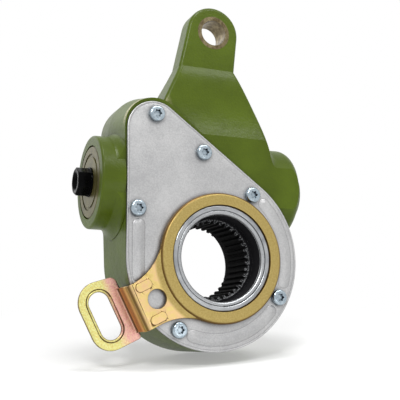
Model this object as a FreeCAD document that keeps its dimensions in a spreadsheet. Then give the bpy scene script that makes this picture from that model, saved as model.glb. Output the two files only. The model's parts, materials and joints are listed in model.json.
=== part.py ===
import FreeCAD, Part
import math
import os
import Sketcher

# Automatic brake slack adjuster, in millimetres.
# The origin is on the camshaft spline's axis, in the plane of the worm's axis.
# Y is the camshaft's axis and the cover faces -Y; Z points up to the clevis eye.

doc = FreeCAD.newDocument("slack_adjuster")
dims = doc.addObject("Spreadsheet::Sheet", "Dim")

V = FreeCAD.Vector
UP = V(0, 0, 1)
BACKWARD = V(0, 1, 0)
ALONG_WORM = V(1, 0, 0)
FULL_TURN = 360.0
HALF_TURN = 180.0
QUARTER_TURN = 90.0
CLOSE = 0.01
HEX_SIDES = 6
LOBES = 6
PRESSURE = math.radians(20)
ROOT_SHARE = 1.25
LAND_SHARE = 0.32
FLOOR_SHARE = 0.2
GROUPS = ("cover_screws", "bearing_balls")

SIZES = [
    # Lever and eye.
    ("lever_length", 125.0, "eye above the camshaft axis"),
    ("eye_rad", 14.8, "outer radius of the eye"),
    ("eye_front", -19.0, "front face of the eye pad"),
    ("eye_back", -6.3, "back face of the eye pad"),
    ("bush_rad", 9.35, "outer radius of the clevis bush"),
    ("clevis_pin_rad", 7.1, "bore of the clevis bush"),
    ("pad_drop", 21.0, "how far the flat eye pad runs down from the eye"),
    ("foot_left", -20.0, "left edge of the lever at the pad's foot"),
    ("foot_right", 12.6, "right edge of the lever at the pad's foot"),
    ("neck_left", -25.8, "left edge at the neck"),
    ("neck_right", 19.4, "right edge at the neck"),
    ("neck_front", -20.5, "front face at the neck"),
    ("neck_back", -1.5, "back face at the neck"),
    ("shoulder_left", -31.0, "left edge at the shoulder"),
    ("shoulder_right", 26.0, "right edge at the shoulder"),
    ("shoulder_front", -20.7, "front face at the shoulder"),
    ("shoulder_back", 6.0, "back face at the shoulder"),
    ("root_rise", 0.2, "lever's root above the top of the worm boss"),
    ("root_left", -34.0, "left edge at the root"),
    ("root_right", 30.4, "right edge at the root"),
    ("root_back", 14.0, "back face at the root"),
    ("lever_round", 2.2, "rounding of the lever's long edges"),
    ("pad_round", 2.0, "rounding of the eye pad's edges"),
    # Cover plate, which also gives the casting its outline.
    ("cover_front", -25.0, "front of the cover plate"),
    ("cover_thick", 1.5, "cover plate"),
    ("gasket_thick", 0.4, "paper gasket"),
    ("cover_rad", 47.8, "round lower part of the cover"),
    ("cover_shift", -2.9, "its centre, beside the camshaft axis"),
    ("corner_across", -36.2, "centre of the cover's top corner"),
    ("corner_up", 65.5, "centre of the cover's top corner"),
    ("corner_rad", 14.7, "radius of the cover's top corner"),
    ("opening_gap", 0.7, "opening round the control hub"),
    ("bead_orbit", 41.6, "radius of the pressed beads' path"),
    ("bead_half", 2.4, "half the width of a bead"),
    ("bead_rise", 0.5, "how far a bead stands out"),
    ("bead_sink", 0.4, "how deep a bead is rooted in the plate"),
    ("right_bead_low", -16.0, "right bead's lower end, degrees above the horizontal"),
    ("right_bead_high", 46.0, "right bead's upper end, degrees"),
    ("low_bead_left", -108.0, "bottom bead's left end, degrees"),
    ("low_bead_right", -40.0, "bottom bead's right end, degrees"),
    ("side_bead_top", 15.5, "upper end of the straight bead"),
    ("side_bead_across", -44.6, "the straight bead's centre line"),
    ("side_bead_low", -10.0, "lower end of the straight bead"),
    ("screw_a_across", -35.5, "cover screw"), ("screw_a_up", 73.4, "cover screw"),
    ("screw_b_across", -9.1, "cover screw"), ("screw_b_up", 55.2, "cover screw"),
    ("screw_c_across", 19.0, "cover screw"), ("screw_c_up", 34.4, "cover screw"),
    ("screw_d_across", 33.7, "cover screw"), ("screw_d_up", -19.6, "cover screw"),
    ("screw_e_across", -23.2, "cover screw"), ("screw_e_up", -36.6, "cover screw"),
    ("screw_f_across", -45.3, "cover screw"), ("screw_f_up", 23.7, "cover screw"),
    ("screw_rad", 2.5, "thread of a cover screw"),
    ("screw_play", 0.2, "holes of the cover round the screws"),
    ("screw_reach", 10.0, "length under the head"),
    ("head_rad", 4.15, "head of a cover screw"),
    ("head_thick", 2.6, "head of a cover screw"),
    ("head_round", 1.2, "rounding of the head"),
    ("drive_rad", 2.3, "six-lobe recess, over its tips"),
    ("drive_root", 1.65, "six-lobe recess, between its tips"),
    ("drive_deep", 1.5, "depth of the recess"),
    # Casting.
    ("rim_right", 0.9, "casting corner at the front, right of the cover's corner"),
    ("rim_above", 0.7, "casting corner at the front, above the cover's corner"),
    ("rim_ledge", 1.8, "casting corner at the front, wider than the cover's"),
    ("flare_right", 4.7, "casting corner at mid depth, right of the cover's"),
    ("flare_above", 1.5, "casting corner at mid depth, above the cover's"),
    ("flare_ledge", 7.3, "casting corner at mid depth, wider than the cover's"),
    ("case_back", 17.5, "back of the casting"),
    ("case_round", 4.0, "rounding of the back edge"),
    ("rear_boss_rad", 33.0, "raised ring round the rear hub bore"),
    ("rear_boss_back", 20.0, "back of that ring"),
    ("boss_rad", 24.5, "worm boss, left end"),
    ("boss_face", -63.5, "machined left face of the worm boss"),
    ("boss_round", 1.2, "rounding of that face's rim"),
    ("blind_rad", 25.8, "worm boss, right end"),
    ("blind_face", 50.5, "right end of the worm boss"),
    ("blind_round", 6.5, "rounding of the right end"),
    ("dome_rad", 18.0, "dome over the blind bearing"),
    ("dome_face", 55.5, "right end of the dome"),
    ("dome_round", 6.0, "rounding of the dome"),
    ("dome_foot", 4.0, "hollow corner at the dome's foot"),
    ("lever_foot", 6.0, "hollow corner where the lever leaves the worm boss"),
    ("rear_foot", 1.5, "hollow corner round the rear ring"),
    ("cove_rad", 5.5, "hollow curve between the worm boss and the shell"),
    ("cove_wall", -51.4, "left wall of the shell where that curve ends"),
    # Camshaft group.
    ("spline_teeth", 37, "teeth of the camshaft spline"),
    ("spline_tip", 19.6, "spline teeth, inner radius"),
    ("spline_deep", 1.3, "height of the spline teeth"),
    ("spline_front", -16.3, "front end of the spline"),
    ("spline_back", 9.5, "rear end of the spline"),
    ("mouth_step", 1.6, "counterbore in front of the spline, past its teeth"),
    ("mouth_bevel", 1.8, "bevel at the spline's mouth"),
    ("tail_step", 3.6, "counterbore behind the spline, past its teeth"),
    ("wheel_front", -27.7, "front end of the worm wheel's hub"),
    ("wheel_round", 1.3, "rounding inside that end"),
    ("rim_round", 0.5, "rounding where the wheel's rim and the control hub's rim meet"),
    ("wheel_back", 20.8, "rear end of the worm wheel's hub"),
    ("journal_wall", 2.25, "wheel's wall between its counterbore and the control hub"),
    ("tail_wall", 2.9, "wheel's wall between its rear counterbore and the casting"),
    ("wheel_face", 17.0, "width of the worm wheel's teeth"),
    ("wheel_teeth", 20, "teeth of the worm wheel"),
    ("worm_height", 40.0, "worm axis above the camshaft axis"),
    ("worm_rad", 10.0, "pitch radius of the worm"),
    ("tooth_play", 0.35, "play on each flank of the worm's teeth"),
    ("tip_gap", 0.75, "gap over the tips of the worm and wheel"),
    ("run_gap", 0.08, "radial running clearance"),
    ("wall_gap", 0.8, "casting clear of the wheel's teeth"),
    ("washer_thick", 1.0, "thrust washer behind the wheel"),
    ("washer_wide", 2.2, "that washer's reach past the rear journal"),
    ("ring_cord", 0.8, "half the cord of the O-rings"),
    ("ring_room", 0.2, "O-ring groove wider than its cord, each side"),
    ("rear_seal_at", 15.2, "O-ring in the casting"),
    ("front_seal_at", -14.3, "O-ring on the wheel's front journal"),
    # Control hub.
    ("hub_wall", 2.67, "wall of the control hub"),
    ("hub_front", -28.0, "front end of the control hub"),
    ("hub_back", -12.0, "rear end of the control hub"),
    ("flange_high", 3.9, "flange behind the cover"),
    ("flange_front", -22.9, "front of the flange"),
    ("flange_back", -17.2, "back of the flange"),
    ("lobe_front", -20.1, "front of the driving lobe"),
    ("lobe_rad", 41.3, "reach of the driving lobe"),
    ("lobe_half_angle", 12.0, "half the lobe's width, degrees"),
    ("slider_thick", 0.5, "slip washer between flange and cover"),
    ("slider_gap", 0.2, "flange past the slip washer"),
    ("hub_round", 0.9, "rounding of the control hub's front rim"),
    # Control arm.
    ("ring_high", 6.5, "width of the control arm's ring"),
    ("ring_front", -28.7, "front of that ring"),
    ("ring_round", 1.7, "rounding of that ring"),
    ("ring_gap", 0.1, "that ring clear of the cover"),
    ("arm_gap", 0.6, "sheet of the arm clear of the cover and its beads"),
    ("arm_thick", 2.0, "sheet of the control arm"),
    ("arm_angle", 26.6, "arm below the left-hand side, degrees"),
    ("arm_offset", 3.3, "arm's centre line beside the hub's centre"),
    ("arm_half", 12.2, "half the arm's width"),
    ("arm_flare", 30.0, "hollow curve between arm and ring"),
    ("step_gap", 0.6, "arm's step clear of the casting's round side"),
    ("step_depth", 14.1, "how far back the loop is set"),
    ("bend_inner", 1.0, "inner radius of the bends"),
    ("bend_outer", 3.0, "outer radius of the bends"),
    ("bend_length", 4.0, "flat past each bend"),
    ("loop_out", 13.6, "centre line of the loop's slot, past the step's inner face"),
    ("loop_offset", 0.6, "middle of the slot beside the hub's centre"),
    ("slot_half", 7.2, "half the distance between the slot's end centres"),
    ("slot_rad", 5.3, "half the width of the slot"),
    ("loop_rim", 5.4, "metal round the slot"),
    ("upper_corner_out", 4.3, "loop's upper inner corner, its arc's centre past the step's inner face"),
    ("upper_corner_side", -12.3, "loop's upper inner corner, its arc's centre"),
    ("upper_corner_rad", 3.5, "loop's upper inner corner"),
    ("lower_corner_out", 2.7, "loop's lower inner corner, its arc's centre past the step's inner face"),
    ("lower_corner_side", 17.0, "loop's lower inner corner, its arc's centre"),
    ("lower_corner_rad", 1.8, "loop's lower inner corner"),
    ("coin_rad", 6.6, "coined edge round the slot"),
    ("coin_deep", 0.3, "depth of that edge"),
    ("anchor_reach", 41.4, "round anchor hole from the hub's centre"),
    ("anchor_rad", 4.85, "round anchor hole"),
    ("stiff_inner", 42.8, "embossed stiffener, inner end's centre"),
    ("stiff_outer", 47.2, "embossed stiffener, outer end's centre"),
    ("stiff_spread", 8.8, "stiffeners beside the arm's centre line"),
    ("stiff_rad", 2.4, "half the width of a stiffener"),
    ("stiff_rise", 0.6, "how far a stiffener stands out"),
    ("stiff_round", 0.48, "rounding of a stiffener's edge"),
    ("lip_high", 3.1, "width of the hub seal"),
    ("lip_deep", 1.3, "depth of the hub seal's groove"),
    # Rack.
    ("rack_left", -40.0, "left side of the rack"),
    ("rack_right", -32.2, "right side of the rack"),
    ("rack_front", -22.6, "front of the rack"),
    ("stem_back", -20.4, "back of the rack's thin stem"),
    ("rack_foot", -3.9, "lower end of the rack"),
    ("rack_top", 50.0, "upper end of the rack"),
    ("teeth_foot", 20.5, "lower end of the toothed bar"),
    ("slide_gap", 0.3, "rack clear of its channel"),
    ("pin_orbit", 36.0, "rack pin from the camshaft axis"),
    ("pin_rad", 2.6, "rack pin"),
    ("pin_play", 0.8, "play of the pin in the hub's notch, each side"),
    ("pin_back", -17.4, "rear end of the rack pin"),
    ("rack_down", 0.9, "travel of the rack, downwards"),
    ("rack_up", 13.4, "travel of the rack, upwards"),
    ("swing_down", 1.0, "control arm, degrees away from the worm boss"),
    ("swing_up", 20.0, "control arm, degrees towards the worm boss"),
    ("swing_spare", 1.5, "room past each end of the swing, degrees"),
    # Clutch on the worm shaft.
    ("gear_teeth", 22, "teeth of the clutch gear"),
    ("gear_module", 1.5, "module of the clutch gear and rack"),
    ("gear_play", 0.2, "play on each flank of the rack and gear"),
    ("gear_left", -41.2, "left side of the clutch gear"),
    ("gear_right", -31.2, "right side of the clutch gear"),
    ("gear_web", 1.8, "web of the clutch gear"),
    ("sleeve_rad", 9.9, "sleeves that the one-way spring grips"),
    ("gear_sleeve_end", -35.6, "right end of the gear's sleeve"),
    ("clutch_sleeve_end", -35.3, "left end of the clutch ring's sleeve"),
    ("wrap_rad", 11.5, "outside of the one-way spring"),
    ("wrap_wide", 1.4, "wire of the one-way spring along the shaft"),
    ("wrap_turns", 5.0, "turns of the one-way spring"),
    ("wrap_pitch", 1.6, "pitch of the one-way spring"),
    ("clutch_left", -29.5, "left side of the clutch ring's flange"),
    ("clutch_right", -23.4, "right side of the clutch ring"),
    ("clutch_rad", 14.3, "outside of the clutch ring"),
    ("cone_rad", 12.2, "large end of the worm's clutch cone"),
    ("cone_small", 9.7, "small end of the worm's clutch cone"),
    ("cone_right", -22.4, "large end of the cone"),
    ("cone_left", -28.0, "small end of the cone"),
    ("cone_gap", 0.08, "cone faces apart at rest"),
    ("cone_relief", 0.5, "casting clear of the clutch ring's end"),
    # Worm shaft.
    ("thread_half", 15.0, "half the length of the worm's thread"),
    ("neck_rad", 8.5, "worm shaft between its cone and its thread"),
    ("worm_wall", 0.6, "casting clear of the worm's thread"),
    ("shaft_rad", 7.8, "worm shaft in the clutch and end cap"),
    ("tail_shaft_rad", 7.0, "worm shaft in the blind bearing"),
    ("tail_shaft_end", 46.0, "right end of the worm shaft"),
    ("collar_left", -64.4, "round collar at the foot of the hexagon"),
    ("hex_end", -71.1, "left end of the adjusting hexagon"),
    ("hex_flats", 13.0, "adjusting hexagon across flats"),
    ("hex_bevel", 0.9, "bevel of the hexagon's end"),
    ("clip_left", -42.4, "retaining ring on the shaft"),
    ("clip_right", -41.4, "retaining ring on the shaft"),
    ("clip_groove", 0.8, "depth of its groove"),
    ("clip_rad", 10.4, "outside of the retaining ring"),
    ("clip_opening", 4.0, "gap between the retaining ring's ends"),
    ("bearing_bush_rad", 10.0, "outside of the blind bearing's bush"),
    ("bearing_bush_left", 34.0, "left end of that bush"),
    ("bearing_bush_right", 46.6, "right end of that bush"),
    # End cap, spring and thrust bearing.
    ("cap_rad", 19.1, "end cap"),
    ("cap_gap", 0.3, "dark gap round the end cap"),
    ("cap_right", -58.5, "inner face of the end cap"),
    ("cap_seal_at", -60.8, "O-ring on the end cap"),
    ("lip_seal_rad", 10.6, "outside of the shaft seal"),
    ("lip_seal_left", -62.4, "left side of the shaft seal"),
    ("lip_seal_right", -59.6, "right side of the shaft seal"),
    ("clutch_bore", 18.7, "bore for the clutch and spring"),
    ("wire_rad", 1.4, "wire of the thrust spring"),
    ("coil_rad", 15.3, "thrust spring to its wire's centre"),
    ("coil_turns", 2.0, "turns of the thrust spring"),
    ("seat_left", -49.0, "spring seat"),
    ("seat_thick", 1.6, "spring seat"),
    ("seat_rad", 17.4, "spring seat"),
    ("race_thick", 1.0, "race of the thrust bearing"),
    ("race_rad", 14.0, "outside of the races"),
    ("ball_rad", 1.5, "ball of the thrust bearing"),
    ("ball_orbit", 11.2, "balls to the shaft's centre"),
    ("ball_count", 9, "balls"),
    ("cage_thick", 1.0, "ball cage"),
    ("cage_rad", 13.4, "outside of the ball cage"),
    ("cage_inner", 9.1, "inside of the ball cage"),
    ("roll_gap", 0.02, "balls clear of the turning race"),
    ("cap_groove_rad", 14.2, "turned groove in the end cap's face"),
    ("cap_groove_wide", 1.6, "width of that groove"),
    ("cap_groove_deep", 0.5, "depth of that groove"),
    ("cap_bevel", 0.7, "bevel of the end cap's rim"),
]


def write_sizes():
    for row, (alias, number, note) in enumerate(SIZES, start=1):
        dims.set("A%d" % row, alias)
        dims.set("B%d" % row, repr(number))
        dims.setAlias("B%d" % row, alias)
        dims.set("C%d" % row, note)
    doc.recompute()


write_sizes()

# Expressions that several pieces share. The bore's rings follow from the spline outwards.
SPLINE_ROOT = "(Dim.spline_tip + Dim.spline_deep)"
MOUTH_RAD = "(%s + Dim.mouth_step)" % SPLINE_ROOT
FRONT_JOURNAL = "(%s + Dim.journal_wall)" % MOUTH_RAD
TAIL_RAD = "(%s + Dim.tail_step)" % SPLINE_ROOT
REAR_JOURNAL = "(%s + Dim.tail_wall)" % TAIL_RAD
HUB_RAD = "(%s + Dim.run_gap + Dim.hub_wall)" % FRONT_JOURNAL
OPENING_RAD = "(%s + Dim.opening_gap)" % HUB_RAD
FLANGE_RAD = "(%s + Dim.flange_high)" % HUB_RAD
LIP_RAD = "(%s + Dim.lip_high)" % HUB_RAD
RING_RAD = "(%s + Dim.ring_high)" % HUB_RAD
STEP_REACH = "(Dim.cover_rad - Dim.cover_shift + Dim.step_gap)"
LOOP_REACH = STEP_REACH + " + Dim.loop_out"
# The lever's neck and shoulder divide its height above the worm boss into thirds.
ROOT_HEIGHT = "(Dim.worm_height + Dim.blind_rad + Dim.root_rise)"
PAD_FOOT = "(Dim.lever_length - Dim.pad_drop)"
SHOULDER_HEIGHT = "(2 * %s + %s) / 3" % (ROOT_HEIGHT, PAD_FOOT)
NECK_HEIGHT = "(%s + 2 * %s) / 3" % (ROOT_HEIGHT, PAD_FOOT)
CASE_FRONT = "Dim.cover_front + Dim.cover_thick + Dim.gasket_thick"
RING_BACK = "Dim.cover_front - Dim.ring_gap"
PLATE_BACK = "Dim.cover_front - Dim.arm_gap"
PLATE_FRONT = "Dim.cover_front - Dim.arm_gap - Dim.arm_thick"
LOOP_FRONT = "Dim.cover_front - Dim.arm_gap - Dim.arm_thick + Dim.step_depth"
PITCH_RAD = "Dim.worm_height - Dim.worm_rad"
MODULE = "2 * (Dim.worm_height - Dim.worm_rad) / Dim.wheel_teeth"
WHEEL_TIP = PITCH_RAD + " + " + MODULE
WHEEL_ROOT = "%s - %s - Dim.tip_gap" % (PITCH_RAD, MODULE)
WORM_TIP = "Dim.worm_rad + " + MODULE
WORM_ROOT = "Dim.worm_rad - %s - Dim.tip_gap" % MODULE
REAR_WALL = "Dim.wheel_face / 2 + Dim.washer_thick + Dim.run_gap * 2"
GEAR_PITCH = "Dim.gear_teeth * Dim.gear_module / 2"
GEAR_BACK = "-(%s) + Dim.gear_module" % GEAR_PITCH
BALL_PLACE = "Dim.seat_left + Dim.seat_thick + Dim.race_thick + Dim.ball_rad"


def value(expression):
    return float(dims.evalExpression(expression))


def size(alias):
    return value("Dim." + alias)


def bind(item, **expressions):
    for name, expression in expressions.items():
        item.setExpression(name, expression)
    return item


def at(item, across="0", back="0", up="0"):
    item.setExpression("Placement.Base.x", across)
    item.setExpression("Placement.Base.y", back)
    item.setExpression("Placement.Base.z", up)
    return item


def turned_to(item, direction):
    item.Placement.Rotation = FreeCAD.Rotation(UP, direction)
    return item


def cylinder(name, rad, start, end, direction=BACKWARD, across="0", up="0"):
    item = bind(doc.addObject("Part::Cylinder", name), Radius=rad, Height="(%s) - (%s)" % (end, start))
    turned_to(item, direction)
    if direction == ALONG_WORM:
        return at(item, start, "0", up)
    return at(item, across, start, up)


def block(name, left, right, front, back, low, high):
    item = bind(doc.addObject("Part::Box", name), Length="(%s) - (%s)" % (right, left),
                Width="(%s) - (%s)" % (back, front), Height="(%s) - (%s)" % (high, low))
    return at(item, left, front, low)


def fuse(name, pieces):
    item = doc.addObject("Part::MultiFuse", name)
    item.Shapes = pieces
    return item


def cut(name, base, tool):
    item = doc.addObject("Part::Cut", name)
    item.Base = base
    item.Tool = tool
    return item


def common(name, pieces):
    item = doc.addObject("Part::MultiCommon", name)
    item.Shapes = pieces
    return item


def feature(name, shape):
    item = doc.addObject("Part::Feature", name)
    item.Shape = shape
    return item


def new_body(name):
    return doc.addObject("PartDesign::Body", name)


def plane_sketch(body, role):
    sketch = body.newObject("Sketcher::SketchObject", body.Name + "_sketch")
    plane = [item for item in body.Origin.OriginFeatures if item.Role == role][0]
    sketch.AttachmentSupport = [(plane, "")]
    sketch.MapMode = "FlatFace"
    return sketch


def pin_point(sketch, geometry, end, across, up):
    # Hold one end of a sketch element at two expressions.
    for kind, expression in (("DistanceX", across), ("DistanceY", up)):
        index = sketch.addConstraint(Sketcher.Constraint(kind, -1, 1, geometry, end, value(expression)))
        sketch.setExpression("Constraints[%d]" % index, expression)


def polygon(sketch, points):
    corners = [V(value(across), value(up), 0) for across, up in points]
    count = len(corners)
    first = sketch.GeometryCount
    for place, corner in enumerate(corners):
        sketch.addGeometry(Part.LineSegment(corner, corners[(place + 1) % count]), False)
    for place in range(count):
        following = first + (place + 1) % count
        sketch.addConstraint(Sketcher.Constraint("Coincident", first + place, 2, following, 1))
    for place, (across, up) in enumerate(points):
        pin_point(sketch, first + place, 1, across, up)


def hull(sketch, circles):
    # A belt round some circles, listed anticlockwise: tangent arcs and lines.
    rounds = [tuple(value(part) for part in entry) for entry in circles]
    count = len(rounds)
    angles = []
    for place, (across, up, rad) in enumerate(rounds):
        next_across, next_up, next_rad = rounds[(place + 1) % count]
        gap = math.hypot(next_across - across, next_up - up)
        heading = math.atan2(next_up - up, next_across - across)
        angles.append(heading - math.acos((rad - next_rad) / gap))
    first = sketch.GeometryCount
    for place, (across, up, rad) in enumerate(rounds):
        next_across, next_up, next_rad = rounds[(place + 1) % count]
        ring = Part.Circle(V(across, up, 0), UP, rad)
        sketch.addGeometry(Part.ArcOfCircle(ring, angles[place - 1], angles[place]), False)
        way = V(math.cos(angles[place]), math.sin(angles[place]), 0)
        sketch.addGeometry(Part.LineSegment(V(across, up, 0) + way * rad,
                                            V(next_across, next_up, 0) + way * next_rad), False)
    for place, (across, up, rad) in enumerate(circles):
        arc = first + 2 * place
        next_arc = first + 2 * ((place + 1) % count)
        pin_point(sketch, arc, 3, across, up)
        radius = sketch.addConstraint(Sketcher.Constraint("Radius", arc, value(rad)))
        sketch.setExpression("Constraints[%d]" % radius, rad)
        sketch.addConstraint(Sketcher.Constraint("Tangent", arc + 1, 1, arc, 2))
        sketch.addConstraint(Sketcher.Constraint("Tangent", arc + 1, 2, next_arc, 1))


def pad(body, sketch, length, back="0"):
    # Raise a sketch of the XZ plane towards -Y, from the depth given.
    sketch.setExpression("AttachmentOffset.Base.z", "-(%s)" % back)
    item = body.newObject("PartDesign::Pad", sketch.Name + "_pad")
    item.Profile = sketch
    item.setExpression("Length", length)
    return item


def plate(name, draw, thick, back):
    body = new_body(name)
    sketch = plane_sketch(body, "XZ_Plane")
    draw(sketch)
    pad(body, sketch, thick, back)
    return body


def turned(name, profile, direction=BACKWARD):
    # A revolved piece; profile pairs are (radius, place along the axis).
    body = new_body(name)
    sketch = plane_sketch(body, "XY_Plane")
    if direction == BACKWARD:
        polygon(sketch, profile)
        axis = "V_Axis"
    else:
        polygon(sketch, [(along, rad) for rad, along in profile])
        axis = "H_Axis"
        body.setExpression("Placement.Base.z", "Dim.worm_height")
    item = body.newObject("PartDesign::Revolution", name + "_turned")
    item.Profile = sketch
    item.ReferenceAxis = (sketch, [axis])
    item.Angle = FULL_TURN
    return body


def turned_ring(name, inner, outer, start, end, direction=BACKWARD):
    profile = [(inner, start), (outer, start), (outer, end), (inner, end)]
    return turned(name, profile, direction)


def o_ring(name, rad, cord, where, direction=BACKWARD):
    item = bind(doc.addObject("Part::Torus", name), Radius1=rad, Radius2=cord)
    turned_to(item, direction)
    if direction == ALONG_WORM:
        return at(item, where, "0", "Dim.worm_height")
    return at(item, "0", where, "0")


def on_circle(rad, axis, along):
    # True for a full circle of this radius at this place along a main axis.
    def test(edge):
        curve = edge.Curve
        if not isinstance(curve, Part.Circle):
            return False
        middle = curve.Center
        place = {"x": middle.x, "y": middle.y}[axis]
        return abs(curve.Radius - rad) < CLOSE and abs(place - along) < CLOSE
    return test


def arc_through(*points):
    return Part.Arc(*points).toShape()


def line(start, end):
    return Part.LineSegment(start, end).toShape()


def solid_from(edges, along):
    wire = Part.Wire(Part.__sortEdges__(edges))
    return Part.Face(wire).extrude(along)


def screw_places():
    return [("Dim.screw_%s_across" % letter, "Dim.screw_%s_up" % letter) for letter in "abcdef"]


def soften(body, test, corner):
    # Round the edges of a body that pass a test.
    doc.recompute()
    plain = body.Tip
    chosen = ["Edge%d" % place for place, edge in enumerate(body.Shape.Edges, start=1) if test(edge)]
    rounding = body.newObject("PartDesign::Fillet", body.Name + "_round")
    rounding.Base = (plain, chosen)
    rounding.setExpression("Radius", corner)
    body.Tip = rounding
    return body


def blend(name, pieces, corner):
    # Join two pieces and fill the hollow corner all along the line where they meet.
    joined = fuse(name + "_joined", pieces)
    joined.Refine = True
    doc.recompute()
    skins = [piece.Shape.Shells[0] for piece in pieces]

    def where_they_meet(edge):
        middle = Part.Vertex(edge.valueAt((edge.FirstParameter + edge.LastParameter) / 2))
        return all(skin.distToShape(middle)[0] < CLOSE for skin in skins)
    chosen = [place for place, edge in enumerate(joined.Shape.Edges, start=1)
              if not edge.Degenerated and where_they_meet(edge)]
    hollow = doc.addObject("Part::Fillet", name)
    hollow.Base = joined
    hollow.Edges = [(place, value(corner), value(corner)) for place in chosen]
    return hollow


def in_plane(axis, *places):
    # True for an edge that lies flat in a plane across a main axis.
    def test(edge):
        ends = [getattr(point.Point, axis) for point in edge.Vertexes]
        return any(all(abs(end - place) < CLOSE for end in ends) for place in places)
    return test


def level_sketch(body, height, left, right, front, back):
    # A rounded rectangle across the lever, at one height.
    sketch = plane_sketch(body, "XY_Plane")
    sketch.setExpression("AttachmentOffset.Base.z", height)
    corner = "Dim.lever_round"
    inside = [left + " + " + corner, right + " - " + corner, front + " + " + corner, back + " - " + corner]
    hull(sketch, [(inside[0], inside[2], corner), (inside[1], inside[2], corner),
                  (inside[1], inside[3], corner), (inside[0], inside[3], corner)])
    return sketch


def lever_bodies():
    # The lever is lofted from the worm boss up to the foot of a flat eye pad.
    neck = new_body("lever_neck")
    root = ["Dim.root_left", "Dim.root_right", CASE_FRONT, "Dim.root_back"]
    levels = [
        level_sketch(neck, "Dim.worm_height", *root),
        level_sketch(neck, ROOT_HEIGHT, *root),
        level_sketch(neck, SHOULDER_HEIGHT, "Dim.shoulder_left", "Dim.shoulder_right",
                     "Dim.shoulder_front", "Dim.shoulder_back"),
        level_sketch(neck, NECK_HEIGHT, "Dim.neck_left", "Dim.neck_right", "Dim.neck_front",
                     "Dim.neck_back"),
        level_sketch(neck, PAD_FOOT, "Dim.foot_left", "Dim.foot_right", "Dim.eye_front",
                     "Dim.eye_back")]
    loft = neck.newObject("PartDesign::AdditiveLoft", "lever_loft")
    loft.Profile = levels[0]
    loft.Sections = levels[1:]

    def outline(sketch):
        corner = "Dim.lever_round"
        hull(sketch, [("0", "Dim.lever_length", "Dim.eye_rad"),
                      ("Dim.foot_left + " + corner, PAD_FOOT, corner),
                      ("Dim.foot_right - " + corner, PAD_FOOT, corner)])
    eye = plate("eye_pad", outline, "Dim.eye_back - Dim.eye_front", "Dim.eye_back")
    soften(eye, in_plane("y", size("eye_front"), size("eye_back")), "Dim.pad_round")
    return neck, eye


def casting_body():
    # The shell behind the cover: its outline flares at the top corner, then runs straight back.
    drum = ("Dim.cover_shift", "0", "Dim.cover_rad")
    body = new_body("case_shell")
    rim = plane_sketch(body, "XZ_Plane")
    hull(rim, [drum, ("Dim.corner_across + Dim.rim_right", "Dim.corner_up + Dim.rim_above",
                      "Dim.corner_rad + Dim.rim_ledge")])
    rim.setExpression("AttachmentOffset.Base.z", "-(%s)" % CASE_FRONT)
    middle = plane_sketch(body, "XZ_Plane")
    flared = ("Dim.corner_across + Dim.flare_right", "Dim.corner_up + Dim.flare_above",
              "Dim.corner_rad + Dim.flare_ledge")
    hull(middle, [drum, flared])
    loft = body.newObject("PartDesign::AdditiveLoft", "case_flare")
    loft.Profile = rim
    loft.Sections = [middle]
    loft.Ruled = True
    rear = plane_sketch(body, "XZ_Plane")
    hull(rear, [drum, flared])
    pad(body, rear, "Dim.case_back", "Dim.case_back")
    return soften(body, in_plane("y", size("case_back")), "Dim.case_round")


def boss_bodies():
    boss = turned("worm_boss", [("0", "Dim.boss_face"), ("Dim.boss_rad", "Dim.boss_face"),
                                ("Dim.blind_rad", "Dim.blind_face"), ("0", "Dim.blind_face")], ALONG_WORM)
    soften(boss, on_circle(size("boss_rad"), "x", size("boss_face")), "Dim.boss_round")
    soften(boss, on_circle(size("blind_rad"), "x", size("blind_face")), "Dim.blind_round")
    dome = turned("blind_dome", [("0", "0"), ("Dim.dome_rad", "0"),
                                 ("Dim.dome_rad", "Dim.dome_face"), ("0", "Dim.dome_face")], ALONG_WORM)
    soften(dome, on_circle(size("dome_rad"), "x", size("dome_face")), "Dim.dome_round")
    return boss, dome


def cove():
    # The hollow curve where the worm boss leaves the shell's left wall.
    outer = "Dim.boss_rad + Dim.cove_rad"
    collar = cylinder("cove_collar", outer, "Dim.cove_wall - Dim.cove_rad", "Dim.root_left", ALONG_WORM,
                      up="Dim.worm_height")
    hollow = o_ring("cove_hollow", outer, "Dim.cove_rad", "Dim.cove_wall - Dim.cove_rad", ALONG_WORM)
    waist = turned_ring("cove_waist", "Dim.boss_rad", outer, "Dim.cove_wall - 2 * Dim.cove_rad",
                        "Dim.cove_wall - Dim.cove_rad", ALONG_WORM)
    slab = block("cove_slab", "Dim.boss_face", "0", CASE_FRONT, "Dim.case_back - Dim.case_round",
                 "0", "Dim.lever_length")
    bare = cut("cove_bare", collar, fuse("cove_cutters", [hollow, waist]))
    return common("cove", [bare, slab])


def sector(name, rad, front, back, half_below, half_above):
    # A slice of a disc round the camshaft axis, about the left-hand side.
    body = new_body(name)
    sketch = plane_sketch(body, "XZ_Plane")
    reach = "-2 * (%s)" % rad
    polygon(sketch, [("0", "0"), (reach, "-(%s) * tan(%s)" % (reach, half_above)),
                     (reach, "(%s) * tan(%s)" % (reach, half_below))])
    pad(body, sketch, "(%s) - (%s)" % (back, front), back)
    return common(name + "_slice", [body, cylinder(name + "_disc", rad, front, back)])


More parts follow.
